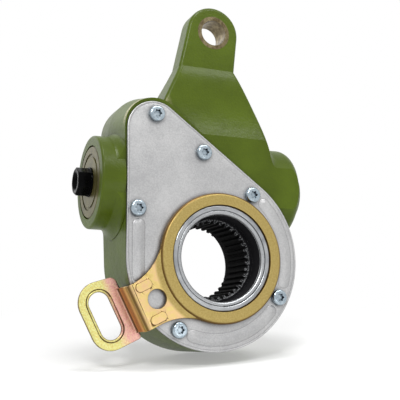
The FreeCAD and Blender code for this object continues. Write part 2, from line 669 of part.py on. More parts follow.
def cavity_tools():
    # What the casting holds: the wheel, the control hub's lobe, the rack, the worm and the clutch.
    past = "Dim.cover_front - 2 * Dim.wheel_face"
    axis = dict(direction=ALONG_WORM, up="Dim.worm_height")
    bore = REAR_JOURNAL + " + Dim.run_gap"
    groove_half = "(Dim.ring_cord + Dim.ring_room)"
    channel_gap = "Dim.slide_gap"
    clutch_end = "Dim.clutch_right + Dim.cone_relief"
    return [
        cylinder("wheel_room", WHEEL_TIP + " + Dim.wall_gap", past, REAR_WALL),
        cylinder("rear_bore", bore, "0", "Dim.rear_boss_back + 2 * Dim.wheel_face"),
        cylinder("rear_seal_groove", bore + " + 2 * Dim.ring_cord", "Dim.rear_seal_at - " + groove_half,
                 "Dim.rear_seal_at + " + groove_half),
        sector("lobe_room", "Dim.lobe_rad + Dim.wall_gap", past, "Dim.flange_back + Dim.slide_gap",
               "Dim.lobe_half_angle + Dim.swing_down + Dim.swing_spare",
               "Dim.lobe_half_angle + Dim.swing_up + Dim.swing_spare"),
        block("rack_channel", "Dim.rack_left - " + channel_gap, "Dim.rack_right + " + channel_gap, past,
              GEAR_BACK + " + " + channel_gap, "Dim.rack_foot - Dim.rack_down - " + channel_gap,
              "Dim.rack_top + Dim.rack_up + " + channel_gap),
        cylinder("worm_bore", WORM_TIP + " + Dim.worm_wall", "Dim.clutch_right", "Dim.bearing_bush_left",
                 **axis),
        cylinder("blind_bore", "Dim.bearing_bush_rad", "0", "Dim.bearing_bush_right + Dim.slide_gap",
                 **axis),
        cylinder("clutch_room", "Dim.clutch_bore", "Dim.cap_right", clutch_end, **axis),
        cylinder("cap_seat", "Dim.cap_rad + Dim.cap_gap", "Dim.boss_face - Dim.cap_rad", "Dim.cap_right",
                 **axis)]


def screw_holes(name, rad, front, back):
    return [cylinder("%s_%d" % (name, place), rad, front, back, across=across, up=up)
            for place, (across, up) in enumerate(screw_places())]


def housing(rooms):
    rear = cylinder("rear_boss", "Dim.rear_boss_rad", "0", "Dim.rear_boss_back")
    boss, dome = boss_bodies()
    neck, eye = lever_bodies()
    worm_case = blend("worm_case", [boss, dome], "Dim.dome_foot")
    lever = blend("lever_on_boss", [worm_case, neck], "Dim.lever_foot")
    shell = blend("shell_with_rear", [casting_body(), rear], "Dim.rear_foot")
    raw = fuse("raw_casting", [shell, cove(), lever, eye])
    mill = block("front_mill", "Dim.corner_across - Dim.corner_rad - Dim.slide_gap", "Dim.lever_length",
                 "-Dim.lever_length", CASE_FRONT, "-Dim.lever_length", "Dim.lever_length")
    reach = "Dim.cover_front + Dim.screw_reach + Dim.gasket_thick"
    holes = screw_holes("tapped_hole", "Dim.screw_rad", "Dim.cover_front - 2 * Dim.wheel_face", reach)
    eye_bore = cylinder("eye_bore", "Dim.bush_rad", "-Dim.lever_length", "Dim.lever_length",
                        up="Dim.lever_length")
    return cut("housing", raw, fuse("housing_rooms", rooms + holes + [mill, eye_bore]))


def cover_outline(sketch):
    hull(sketch, [("Dim.cover_shift", "0", "Dim.cover_rad"),
                  ("Dim.corner_across", "Dim.corner_up", "Dim.corner_rad")])


def arc_bead(name, low, high, sphere_rad, depth):
    # A rounded bead along an arc about the drum's centre, with a ball at each end.
    ring = bind(doc.addObject("Part::Torus", name), Radius1="Dim.bead_orbit", Radius2=sphere_rad,
                Angle3="(%s) - (%s)" % (high, low))
    ring.Placement.Rotation = FreeCAD.Rotation(BACKWARD, -value(low)).multiply(
        FreeCAD.Rotation(ALONG_WORM, QUARTER_TURN))
    at(ring, "Dim.cover_shift", depth, "0")
    pieces = [ring]
    for place, angle in enumerate((low, high)):
        ball = bind(doc.addObject("Part::Sphere", "%s_end_%d" % (name, place)), Radius=sphere_rad)
        pieces.append(at(ball, "Dim.cover_shift + Dim.bead_orbit * cos(%s)" % angle, depth,
                         "Dim.bead_orbit * sin(%s)" % angle))
    return pieces


def cover_plate():
    back = "Dim.cover_front + Dim.cover_thick"
    sheet = plate("cover_sheet", cover_outline, "Dim.cover_thick", back)
    sphere_rad = "(Dim.bead_half ^ 2 + Dim.bead_rise ^ 2) / (2 * Dim.bead_rise)"
    depth = "Dim.cover_front - Dim.bead_rise + " + sphere_rad
    beads = arc_bead("right_bead", "Dim.right_bead_low", "Dim.right_bead_high", sphere_rad, depth)
    beads += arc_bead("low_bead", "Dim.low_bead_left", "Dim.low_bead_right", sphere_rad, depth)
    straight = bind(doc.addObject("Part::Cylinder", "side_bead"), Radius=sphere_rad,
                    Height="Dim.side_bead_top - Dim.side_bead_low")
    beads.append(at(straight, "Dim.side_bead_across", depth, "Dim.side_bead_low"))
    for place, end in enumerate(("Dim.side_bead_low", "Dim.side_bead_top")):
        ball = bind(doc.addObject("Part::Sphere", "side_bead_end_%d" % place), Radius=sphere_rad)
        beads.append(at(ball, "Dim.side_bead_across", depth, end))
    skin = block("bead_skin", "-Dim.lever_length", "Dim.lever_length", "Dim.cover_front - 2 * Dim.bead_rise",
                 "Dim.cover_front + Dim.bead_sink", "-Dim.lever_length", "Dim.lever_length")
    shown = common("beads", [fuse("bead_forms", beads), skin])
    opening = cylinder("cover_opening", OPENING_RAD, "-Dim.lever_length", "0")
    holes = screw_holes("cover_hole", "Dim.screw_rad + Dim.screw_play", "-Dim.lever_length", "0")
    return cut("cover_plate", fuse("pressed_cover", [sheet, shown]), fuse("cover_holes", holes + [opening]))


def cover_gasket(rooms):
    sheet = plate("gasket_sheet", cover_outline, "Dim.gasket_thick", CASE_FRONT)
    holes = screw_holes("gasket_hole", "Dim.screw_rad + Dim.screw_play", "-Dim.lever_length", "0")
    return cut("cover_gasket", sheet, fuse("gasket_holes", rooms + holes))


def cover_screws():
    # Six button-head screws with a six-lobe drive, as separate solids of one node.
    under = "Dim.cover_front"
    blank = turned("screw_blank", [("0", "Dim.cover_front - Dim.head_thick"),
                                   ("Dim.head_rad", "Dim.cover_front - Dim.head_thick"),
                                   ("Dim.head_rad", under), ("Dim.screw_rad", under),
                                   ("Dim.screw_rad", "Dim.cover_front + Dim.screw_reach"),
                                   ("0", "Dim.cover_front + Dim.screw_reach")])
    crown = on_circle(size("head_rad"), "y", size("cover_front") - size("head_thick"))
    soften(blank, crown, "Dim.head_round")

    def star(sketch):
        points = []
        for place in range(2 * LOBES):
            reach = "Dim.drive_rad" if place % 2 == 0 else "Dim.drive_root"
            angle = HALF_TURN * place / LOBES
            points.append(("%s * cos(%s)" % (reach, angle), "%s * sin(%s)" % (reach, angle)))
        polygon(sketch, points)
    drive = plate("screw_drive", star, "2 * Dim.drive_deep",
                  "Dim.cover_front - Dim.head_thick + Dim.drive_deep")
    screw = cut("screw", blank, drive)
    doc.recompute()
    copies = []
    for across, up in screw_places():
        copies.append(screw.Shape.translated(V(value(across), 0, value(up))))
    return feature("cover_screws", Part.Compound(copies))


def arm_blank():
    # The flat part of the arm, with a hollow curve on each side where it meets the ring.
    reach = value(STEP_REACH) - size("bend_length") / 2
    ring, flare, half = value(RING_RAD), size("arm_flare"), size("arm_half")
    middle, side = size("arm_offset"), []
    for sign in (-1, 1):
        across = middle + sign * (half + flare)
        along = math.sqrt((ring + flare) ** 2 - across ** 2)
        on_ring = V(along, 0, across) * (ring / (ring + flare))
        on_edge = V(along, 0, middle + sign * half)
        centre = V(along, 0, across)
        between = centre - (centre * 2 - on_ring - on_edge).normalize() * flare
        side.append((on_ring, between, on_edge, V(reach, 0, middle + sign * half)))
    (ring_low, mid_low, edge_low, end_low), (ring_high, mid_high, edge_high, end_high) = side
    edges = [arc_through(ring_low, mid_low, edge_low), line(edge_low, end_low), line(end_low, end_high),
             line(end_high, edge_high), arc_through(edge_high, mid_high, ring_high),
             line(ring_high, ring_low)]
    blank = solid_from(edges, V(0, size("arm_thick"), 0))
    return blank.translated(V(0, value(PLATE_FRONT), 0))


def arm_step():
    # The double bend that sets the loop back.
    body = new_body("arm_step")
    sketch = plane_sketch(body, "XY_Plane")
    outer, inner = STEP_REACH + " + Dim.arm_thick", STEP_REACH
    start = inner + " - Dim.bend_length"
    end = outer + " + Dim.bend_length"
    loop_back = LOOP_FRONT + " + Dim.arm_thick"
    polygon(sketch, [(start, PLATE_FRONT), (outer, PLATE_FRONT), (outer, LOOP_FRONT), (end, LOOP_FRONT),
                     (end, loop_back), (inner, loop_back), (inner, PLATE_BACK), (start, PLATE_BACK)])
    item = body.newObject("PartDesign::Pad", "arm_step_pad")
    item.Profile = sketch
    item.setExpression("Length", "2 * Dim.arm_half")
    sketch.setExpression("AttachmentOffset.Base.z", "Dim.arm_offset - Dim.arm_half")
    doc.recompute()

    def at_bend(*bends):
        def test(edge):
            ends = [point.Point for point in edge.Vertexes]
            upright = abs(ends[0].z - ends[-1].z) > size("arm_half")
            return upright and any(math.hypot(ends[0].x - value(along), ends[0].y - value(deep)) < CLOSE
                                   for along, deep in bends)
        return test
    soften(body, at_bend((outer, PLATE_FRONT), (inner, loop_back)), "Dim.bend_outer")
    return soften(body, at_bend((inner, PLATE_BACK), (outer, LOOP_FRONT)), "Dim.bend_inner")


def arm_loop():
    outer = "Dim.slot_rad + Dim.loop_rim"
    slot_ends = ["Dim.loop_offset - Dim.slot_half", "Dim.loop_offset + Dim.slot_half"]

    def outline(sketch):
        hull(sketch, [(LOOP_REACH, slot_ends[0], outer), (LOOP_REACH, slot_ends[1], outer),
                      (STEP_REACH + " + Dim.lower_corner_out", "Dim.lower_corner_side",
                       "Dim.lower_corner_rad"),
                      (STEP_REACH + " + Dim.upper_corner_out", "Dim.upper_corner_side",
                       "Dim.upper_corner_rad")])

    def slot(rad):
        def draw(sketch):
            hull(sketch, [(LOOP_REACH, slot_ends[0], rad), (LOOP_REACH, slot_ends[1], rad)])
        return draw
    loop = plate("loop_blank", outline, "Dim.arm_thick", LOOP_FRONT + " + Dim.arm_thick")
    through = plate("anchor_slot", slot("Dim.slot_rad"), "2 * Dim.step_depth", "0")
    coined = plate("coined_edge", slot("Dim.coin_rad"), "Dim.step_depth", LOOP_FRONT + " + Dim.coin_deep")
    return loop, [through, coined]


def control_arm():
    ring = turned("arm_ring", [(HUB_RAD, "Dim.ring_front"), (RING_RAD, "Dim.ring_front"),
                               (RING_RAD, RING_BACK), (LIP_RAD, RING_BACK),
                               (LIP_RAD, RING_BACK + " - Dim.lip_deep"),
                               (HUB_RAD, RING_BACK + " - Dim.lip_deep")])
    soften(ring, on_circle(value(RING_RAD), "y", size("ring_front")), "Dim.ring_round")
    loop, cutters = arm_loop()
    cutters.append(cylinder("anchor_hole", "Dim.anchor_rad", "-Dim.lever_length", "0",
                            across="Dim.anchor_reach", up="Dim.arm_offset"))
    ribs = []
    for place, sign in enumerate("-+"):
        side = "Dim.arm_offset %s Dim.stiff_spread" % sign

        def rib(sketch):
            hull(sketch, [("Dim.stiff_inner", side, "Dim.stiff_rad"),
                          ("Dim.stiff_outer", side, "Dim.stiff_rad")])
        thick = "Dim.stiff_rise + Dim.arm_thick / 2"
        form = plate("stiffener_%d" % place, rib, thick, PLATE_FRONT + " + Dim.arm_thick / 2")
        front = value(PLATE_FRONT + " - Dim.stiff_rise")
        ribs.append(soften(form, in_plane("y", front), "Dim.stiff_round"))
    step = arm_step()
    doc.recompute()
    sheet = arm_blank().fuse([item.Shape for item in ribs + [step, loop]])
    length = size("lever_length")
    inside = Part.makeCylinder(value(LIP_RAD), length, V(0, -length, 0), BACKWARD)
    sheet = sheet.cut([item.Shape for item in cutters] + [inside])
    sheet.rotate(V(0, 0, 0), BACKWARD, HALF_TURN - size("arm_angle"))
    return feature("control_arm", ring.Shape.fuse(sheet).removeSplitter())


def control_hub():
    bore = FRONT_JOURNAL + " + Dim.run_gap"
    body = turned("hub_blank", [
        (bore, "Dim.hub_front"), (HUB_RAD, "Dim.hub_front"), (HUB_RAD, "Dim.flange_front"),
        (FLANGE_RAD, "Dim.flange_front"), (FLANGE_RAD, "Dim.flange_back"), (HUB_RAD, "Dim.flange_back"),
        (HUB_RAD, "Dim.hub_back"), (bore, "Dim.hub_back")])
    soften(body, on_circle(value(HUB_RAD), "y", size("hub_front")), "Dim.hub_round")
    soften(body, on_circle(value(bore), "y", size("hub_front")), "Dim.rim_round")
    lobe = sector("hub_lobe", "Dim.lobe_rad", "Dim.lobe_front", "Dim.flange_back",
                  "Dim.lobe_half_angle", "Dim.lobe_half_angle")
    middle = cylinder("lobe_middle", HUB_RAD, "Dim.lobe_front", "Dim.flange_back")
    notch_half = "(Dim.pin_rad + Dim.pin_play)"
    notch_end = cylinder("notch_end", notch_half, "-Dim.lever_length", "0", across="-Dim.pin_orbit")
    notch = block("notch", "-2 * Dim.lobe_rad", "-Dim.pin_orbit", "-Dim.lever_length", "0",
                  "-" + notch_half, notch_half)
    notched = cut("notched_lobe", lobe, fuse("notch_form", [middle, notch_end, notch]))
    return fuse("control_hub", [body, notched])


def rack():
    # Straight teeth on the back of a bar, in step with the gear when its tooth points forward.
    pitch, module = math.pi * size("gear_module"), size("gear_module")
    front, root = size("rack_front"), -value(GEAR_PITCH) - ROOT_SHARE * module
    half = pitch / 4 - size("gear_play")
    points = [V(0, front, size("rack_foot")), V(0, size("stem_back"), size("rack_foot")),
              V(0, size("stem_back"), size("teeth_foot")), V(0, root, size("teeth_foot"))]
    tip_half = half - module * math.tan(PRESSURE)
    root_half = half + ROOT_SHARE * module * math.tan(PRESSURE)
    middle = size("worm_height") + pitch / 2
    middle -= pitch * math.floor((middle - root_half - size("teeth_foot")) / pitch)
    while middle + root_half < size("rack_top"):
        points += [V(0, root, middle - root_half), V(0, root + (1 + ROOT_SHARE) * module, middle - tip_half),
                   V(0, root + (1 + ROOT_SHARE) * module, middle + tip_half), V(0, root, middle + root_half)]
        middle += pitch
    points += [V(0, root, size("rack_top")), V(0, front, size("rack_top"))]
    width = size("rack_right") - size("rack_left")
    bar = Part.Face(Part.makePolygon(points + points[:1])).extrude(V(width, 0, 0))
    pin_hole = Part.makeCylinder(size("pin_rad"), size("lever_length"),
                                 V(-size("pin_orbit"), -size("lever_length"), 0), BACKWARD)
    return feature("rack", bar.translated(V(size("rack_left"), 0, 0)).cut(pin_hole))


def involute(rad, base):
    slope = math.sqrt(max(rad / base, 1.0) ** 2 - 1)
    return slope - math.atan(slope)


def tooth_outline(teeth, pitch_rad, rads, play):
    # Points of a spur gear as (radius, angle), with a tooth at angle zero.
    base = pitch_rad * math.cos(PRESSURE)
    points = []
    for tooth in range(teeth):
        middle = 2 * math.pi * tooth / teeth
        flank = []
        for rad in rads:
            half = math.pi / (2 * teeth) - play / pitch_rad + involute(pitch_rad, base) - involute(rad, base)
            flank.append((rad, half))
        points += [(rad, middle - half) for rad, half in flank]
        points += [(rad, middle + half) for rad, half in reversed(flank)]
    return points


def closed_face(points):
    return Part.Face(Part.makePolygon(points + points[:1]))


def wheel_teeth():
    # Helical teeth that follow the worm's lead, with a tooth space under the worm.
    pitch, half_face = value(PITCH_RAD), size("wheel_face") / 2
    teeth = int(size("wheel_teeth"))
    lead = value(MODULE) / (2 * size("worm_rad"))
    rads = [value(WHEEL_ROOT), pitch, value(WHEEL_TIP)]
    outline = tooth_outline(teeth, pitch, rads, size("tooth_play"))
    ends = []
    for back in (-half_face, half_face):
        turn = math.pi / teeth + back * lead / pitch
        points = [V(rad * math.sin(angle + turn), back, rad * math.cos(angle + turn))
                  for rad, angle in outline]
        ends.append(Part.makePolygon(points + points[:1]))
    return Part.makeLoft(ends, True, True)


def spline_tool():
    # The splined hole, as a solid to cut away.
    count = int(size("spline_teeth"))
    tip, root = size("spline_tip"), value(SPLINE_ROOT)
    points = []
    for groove in range(count):
        middle = 2 * math.pi * groove / count
        for rad, share in ((tip, -LAND_SHARE), (root, -FLOOR_SHARE), (root, FLOOR_SHARE), (tip, LAND_SHARE)):
            angle = middle + share * 2 * math.pi / count
            points.append(V(rad * math.sin(angle), 0, rad * math.cos(angle)))
    length = size("spline_back") - size("spline_front")
    return closed_face(points).extrude(V(0, length, 0)).translated(V(0, size("spline_front"), 0))


def worm_wheel():
    half_face = "Dim.wheel_face / 2"
    groove = FRONT_JOURNAL + " + Dim.run_gap - 2 * Dim.ring_cord"
    front, back = ["Dim.front_seal_at %s (Dim.ring_cord + Dim.ring_room)" % sign for sign in "-+"]
    body = turned("wheel_blank", [
        (MOUTH_RAD, "Dim.wheel_front"), (FRONT_JOURNAL, "Dim.wheel_front"),
        (FRONT_JOURNAL, front), (groove, front), (groove, back), (FRONT_JOURNAL, back),
        (FRONT_JOURNAL, "-" + half_face), (WHEEL_ROOT, "-" + half_face), (WHEEL_ROOT, half_face),
        (REAR_JOURNAL, half_face), (REAR_JOURNAL, "Dim.wheel_back"),
        (TAIL_RAD, "Dim.wheel_back"), (TAIL_RAD, "Dim.spline_back"),
        ("Dim.spline_tip", "Dim.spline_back"), ("Dim.spline_tip", "Dim.spline_front + Dim.mouth_bevel"),
        ("Dim.spline_tip + Dim.mouth_bevel", "Dim.spline_front"), (MOUTH_RAD, "Dim.spline_front")])
    soften(body, on_circle(value(MOUTH_RAD), "y", size("wheel_front")), "Dim.wheel_round")
    soften(body, on_circle(value(FRONT_JOURNAL), "y", size("wheel_front")), "Dim.rim_round")
    doc.recompute()
    width = size("wheel_face")
    core = Part.makeCylinder(value(groove), 2 * width, V(0, -width, 0), BACKWARD)
    shape = body.Shape.fuse(wheel_teeth().cut(core))
    return feature("worm_wheel", shape.cut(spline_tool()))


def coil(rad, pitch, turns, start, profile):
    # Sweep a closed profile along a helix on the worm's axis, from its lowest point.
    helix = Part.Wire(Part.makeHelix(pitch, pitch * turns, rad).Edges)
    solid = helix.makePipeShell([profile], True, True)
    solid.rotate(V(0, 0, 0), BACKWARD, QUARTER_TURN)
    return solid.translated(V(start, 0, size("worm_height")))


def worm_thread():
    pitch, module = math.pi * value(MODULE), value(MODULE)
    middle, tip, sunk = size("worm_rad"), value(WORM_TIP), value(WORM_ROOT) - size("washer_thick")
    halves = [pitch / 4 - (rad - middle) * math.tan(PRESSURE) for rad in (sunk, tip)]
    points = [V(sunk, 0, -halves[0]), V(tip, 0, -halves[1]), V(tip, 0, halves[1]), V(sunk, 0, halves[0])]
    profile = Part.makePolygon(points + points[:1])
    half_turns = math.ceil(size("thread_half") / pitch)
    thread = coil(middle, pitch, 2.0 * half_turns, -half_turns * pitch, profile)
    limit = Part.makeCylinder(2 * tip, 2 * size("thread_half"),
                              V(-size("thread_half"), 0, size("worm_height")), ALONG_WORM)
    return thread.common(limit)


def worm_screw():
    shaft, thread = "Dim.shaft_rad", "Dim.thread_half"
    body = turned("worm_shaft", [
        ("0", "Dim.collar_left"), (shaft, "Dim.collar_left"), (shaft, "Dim.clip_left"),
        (shaft + " - Dim.clip_groove", "Dim.clip_left"), (shaft + " - Dim.clip_groove", "Dim.clip_right"),
        (shaft, "Dim.clip_right"), (shaft, "Dim.cone_left"), ("Dim.cone_small", "Dim.cone_left"),
        ("Dim.cone_rad", "Dim.cone_right"), ("Dim.neck_rad", "Dim.cone_right"),
        ("Dim.neck_rad", "-" + thread),
        (WORM_ROOT, "-" + thread), (WORM_ROOT, thread), ("Dim.tail_shaft_rad", thread),
        ("Dim.tail_shaft_rad", "Dim.tail_shaft_end"), ("0", "Dim.tail_shaft_end")], ALONG_WORM)
    hexagon = bind(doc.addObject("Part::Prism", "hexagon"), Circumradius="Dim.hex_flats / (2 * cos(30))",
                   Height="Dim.collar_left - Dim.hex_end")
    hexagon.Polygon = HEX_SIDES
    turned_to(hexagon, ALONG_WORM)
    at(hexagon, "Dim.hex_end", "0", "Dim.worm_height")
    flats = "Dim.hex_flats / 2"
    wide = flats + " + 2 * Dim.hex_bevel"
    cone = turned("hex_cone", [("0", "Dim.hex_end"), (flats, "Dim.hex_end"),
                               (wide, "Dim.hex_end + Dim.hex_bevel"), (wide, "Dim.collar_left"),
                               ("0", "Dim.collar_left")], ALONG_WORM)
    head = common("bevelled_hexagon", [hexagon, cone])
    doc.recompute()
    return feature("worm_screw", body.Shape.fuse([head.Shape, worm_thread()]))


def shaft_clip():
    ring = turned_ring("clip_ring", "Dim.shaft_rad - Dim.clip_groove", "Dim.clip_rad",
                       "Dim.clip_left", "Dim.clip_right", ALONG_WORM)
    opening = block("clip_gap", "Dim.clip_left", "Dim.clip_right", "-Dim.clip_opening / 2",
                    "Dim.clip_opening / 2", "0", "Dim.worm_height")
    return cut("shaft_clip", ring, opening)


def ball_places():
    count, orbit = int(size("ball_count")), size("ball_orbit")
    angles = [2 * math.pi * place / count for place in range(count)]
    return [V(value(BALL_PLACE), orbit * math.cos(angle), size("worm_height") + orbit * math.sin(angle))
            for angle in angles]


def bearing_balls():
    return feature("bearing_balls", Part.Compound([Part.makeSphere(size("ball_rad"), place)
                                                   for place in ball_places()]))


def bearing_cage():
    half = "Dim.cage_thick / 2"
    ring = turned_ring("cage_ring", "Dim.cage_inner", "Dim.cage_rad", BALL_PLACE + " - " + half,
                       BALL_PLACE + " + " + half, ALONG_WORM)
    doc.recompute()
    width = V(size("cage_thick"), 0, 0)
    pockets = [Part.makeCylinder(size("ball_rad") + size("roll_gap"), 2 * width.x, place - width, ALONG_WORM)
               for place in ball_places()]
    return feature("bearing_cage", ring.Shape.cut(pockets))


def thrust_spring():
    wire, rad = size("wire_rad"), size("coil_rad")
    start = size("cap_right") + wire
    pitch = (size("seat_left") - wire - start) / size("coil_turns")
    profile = Part.Wire(Part.makeCircle(wire, V(rad, 0, 0), BACKWARD))
    return feature("thrust_spring", coil(rad, pitch, size("coil_turns"), start, profile))


def one_way_spring():
    inner, outer = size("sleeve_rad") + size("roll_gap"), size("wrap_rad")
    half, pitch = size("wrap_wide") / 2, size("wrap_pitch")
    points = [V(inner, 0, -half), V(outer, 0, -half), V(outer, 0, half), V(inner, 0, half)]
    profile = Part.makePolygon(points + points[:1])
    start = size("gear_left") + size("gear_web") + half + size("run_gap")
    turns = size("wrap_turns")
    return feature("one_way_spring", coil((inner + outer) / 2, pitch, turns, start, profile))


def end_cap():
    groove = "Dim.cap_rad + Dim.cap_gap - 2 * Dim.ring_cord"
    left, right = ["Dim.cap_seal_at %s (Dim.ring_cord + Dim.ring_room)" % sign for sign in "-+"]
    face, floor = "Dim.boss_face", "Dim.boss_face + Dim.cap_groove_deep"
    ring_in, ring_out = ["Dim.cap_groove_rad %s Dim.cap_groove_wide / 2" % sign for sign in "-+"]
    bore = "Dim.shaft_rad + Dim.run_gap"
    return turned("end_cap", [
        (bore, face), (ring_in, face), (ring_in, floor), (ring_out, floor), (ring_out, face),
        ("Dim.cap_rad - Dim.cap_bevel", face), ("Dim.cap_rad", face + " + Dim.cap_bevel"),
        ("Dim.cap_rad", left), (groove, left), (groove, right), ("Dim.cap_rad", right),
        ("Dim.cap_rad", "Dim.cap_right"), ("Dim.lip_seal_rad", "Dim.cap_right"),
        ("Dim.lip_seal_rad", "Dim.lip_seal_left"), (bore, "Dim.lip_seal_left")], ALONG_WORM)


def clutch_gear():
    pitch = value(GEAR_PITCH)
    module, teeth = size("gear_module"), int(size("gear_teeth"))
    rads = [pitch - ROOT_SHARE * module, pitch, pitch + module]
    outline = tooth_outline(teeth, pitch, rads, 0.0)
    left, width = size("gear_left"), size("gear_right") - size("gear_left")
    points = [V(left, -rad * math.cos(angle), size("worm_height") + rad * math.sin(angle))
              for rad, angle in outline]
    blank = closed_face(points).extrude(V(width, 0, 0))
    room = turned("gear_room", [
        ("0", "Dim.gear_left"), ("Dim.shaft_rad + Dim.run_gap", "Dim.gear_left"),
        ("Dim.shaft_rad + Dim.run_gap", "Dim.gear_sleeve_end"), ("Dim.sleeve_rad", "Dim.gear_sleeve_end"),
        ("Dim.sleeve_rad", "Dim.gear_left + Dim.gear_web"),
        ("Dim.wrap_rad + 2 * Dim.run_gap", "Dim.gear_left + Dim.gear_web"),
        ("Dim.wrap_rad + 2 * Dim.run_gap", "Dim.gear_right"), ("0", "Dim.gear_right")], ALONG_WORM)
    doc.recompute()
    return feature("clutch_gear", blank.cut(room.Shape))


def clutch_ring():
    bore = "Dim.shaft_rad + Dim.run_gap"
    slope = "(Dim.cone_rad - Dim.cone_small) / (Dim.cone_right - Dim.cone_left)"
    mouth = "Dim.cone_small + Dim.cone_gap + %s * (Dim.clutch_right - Dim.cone_left)" % slope
    return turned("clutch_ring", [
        (bore, "Dim.clutch_sleeve_end"), ("Dim.sleeve_rad", "Dim.clutch_sleeve_end"),
        ("Dim.sleeve_rad", "Dim.clutch_left"), ("Dim.clutch_rad", "Dim.clutch_left"),
        ("Dim.clutch_rad", "Dim.clutch_right"), (mouth, "Dim.clutch_right"),
        ("Dim.cone_small + Dim.cone_gap", "Dim.cone_left - Dim.cone_gap"),
        (bore, "Dim.cone_left - Dim.cone_gap")], ALONG_WORM)


def small_rings():
    # Plain turned pieces: name, inner and outer radius, start and end, and the axis.
    journal = REAR_JOURNAL + " + Dim.slide_gap"
    race_left = "Dim.seat_left + Dim.seat_thick"
    turning_race = BALL_PLACE + " + Dim.ball_rad + Dim.roll_gap"
    loose_shaft = "Dim.shaft_rad + Dim.slide_gap"
    pieces = [
        ("hub_seal", HUB_RAD, LIP_RAD, RING_BACK + " - Dim.lip_deep",
         RING_BACK + " + Dim.roll_gap", BACKWARD),
        ("hub_slip_washer", OPENING_RAD, FLANGE_RAD + " - Dim.slider_gap",
         "Dim.cover_front + Dim.cover_thick",
         "Dim.cover_front + Dim.cover_thick + Dim.slider_thick", BACKWARD),
        ("wheel_thrust_washer", journal, REAR_JOURNAL + " + Dim.washer_wide",
         REAR_WALL + " - Dim.washer_thick", REAR_WALL, BACKWARD),
        ("spring_seat", loose_shaft, "Dim.seat_rad", "Dim.seat_left", race_left, ALONG_WORM),
        ("still_race", loose_shaft, "Dim.race_rad", race_left, race_left + " + Dim.race_thick", ALONG_WORM),
        ("turning_race", "Dim.shaft_rad", "Dim.race_rad", turning_race, "Dim.clip_left", ALONG_WORM),
        ("shaft_seal", "Dim.shaft_rad + Dim.roll_gap", "Dim.lip_seal_rad", "Dim.lip_seal_left",
         "Dim.lip_seal_right", ALONG_WORM),
        ("worm_bush", "Dim.tail_shaft_rad + Dim.run_gap", "Dim.bearing_bush_rad", "Dim.bearing_bush_left",
         "Dim.bearing_bush_right", ALONG_WORM)]
    rings = [turned_ring(*entry) for entry in pieces]
    bush = turned_ring("clevis_bush", "Dim.clevis_pin_rad", "Dim.bush_rad", "Dim.eye_front", "Dim.eye_back")
    bush.setExpression("Placement.Base.z", "Dim.lever_length")
    cord = "Dim.ring_cord"
    rings.append(o_ring("wheel_seal_front", FRONT_JOURNAL + " + Dim.run_gap - Dim.ring_cord - Dim.roll_gap",
                        cord + " - Dim.roll_gap", "Dim.front_seal_at"))
    rings.append(o_ring("wheel_seal_rear", REAR_JOURNAL + " + Dim.run_gap + Dim.ring_cord", cord,
                        "Dim.rear_seal_at"))
    rings.append(o_ring("cap_seal", "Dim.cap_rad + Dim.cap_gap - Dim.ring_cord", cord, "Dim.cap_seal_at",
                        ALONG_WORM))
    pin = cylinder("rack_pin", "Dim.pin_rad", "Dim.rack_front", "Dim.pin_back", across="-Dim.pin_orbit")
    return rings + [bush, pin]


def check(pieces):
    broken = [item.Name for item in doc.Objects if "Invalid" in item.State or "Error" in item.State]
    for piece in pieces:
        if piece.Shape.isNull() or not piece.Shape.isValid():
            broken.append(piece.Name)
        if piece.Name not in GROUPS and len(piece.Shape.Solids) != 1:
            broken.append("%s has %d solids" % (piece.Name, len(piece.Shape.Solids)))
    if broken:
        raise RuntimeError("not sound: " + ", ".join(broken))


def main():
    rooms = cavity_tools()
    pieces = [housing(rooms), cover_plate(), cover_gasket(rooms), cover_screws(), control_arm(),
              control_hub(), rack(), worm_wheel(), worm_screw(), shaft_clip(), bearing_balls(),
              bearing_cage(), thrust_spring(), one_way_spring(), end_cap(), clutch_gear(),
              clutch_ring()] + small_rings()
    doc.recompute()
    check(pieces)
    os.makedirs("parts", exist_ok=True)
    for piece in pieces:
        piece.Label = piece.Name
        piece.Shape.exportStep("parts/%s.step" % piece.Name)


main()
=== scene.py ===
import json
import math

import bmesh
import bpy
from mathutils import Matrix, Vector


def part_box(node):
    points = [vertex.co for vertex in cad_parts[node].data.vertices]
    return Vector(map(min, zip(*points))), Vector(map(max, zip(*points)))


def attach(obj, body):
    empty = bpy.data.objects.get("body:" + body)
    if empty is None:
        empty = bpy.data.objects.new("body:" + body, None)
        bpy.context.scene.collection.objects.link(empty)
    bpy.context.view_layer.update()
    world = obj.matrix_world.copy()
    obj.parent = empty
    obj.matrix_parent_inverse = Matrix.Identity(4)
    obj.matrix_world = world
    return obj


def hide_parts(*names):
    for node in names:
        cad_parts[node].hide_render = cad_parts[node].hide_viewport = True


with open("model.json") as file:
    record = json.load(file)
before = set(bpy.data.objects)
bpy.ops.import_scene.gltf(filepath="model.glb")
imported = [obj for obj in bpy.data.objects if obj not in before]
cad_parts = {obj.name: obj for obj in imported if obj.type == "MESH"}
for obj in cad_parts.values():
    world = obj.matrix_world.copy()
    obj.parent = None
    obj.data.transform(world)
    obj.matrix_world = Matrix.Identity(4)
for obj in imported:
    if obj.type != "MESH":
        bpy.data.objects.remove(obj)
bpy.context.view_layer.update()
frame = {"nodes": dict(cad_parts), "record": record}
nodes = frame["nodes"]
print("frame loaded:", len(nodes), "nodes")

mm = 0.001  # a name that ends in Mm holds millimetres, and every other length is in metres
noiseLow, noiseHigh = 0.3, 0.7  # nearly all values of a noise lie between these
mounts = {mount["name"]: mount for mount in frame["record"]["mounts"]}


def axisLine(mountName):
    # what a Mapping node needs to leave only a point's distance from this mount's axis
    square = [1.0 - abs(part) for part in mounts[mountName]["axis"]]
    back = [-part * keep for part, keep in zip(mounts[mountName]["pos_m"], square)]
    return {"Location": back, "Scale": square}


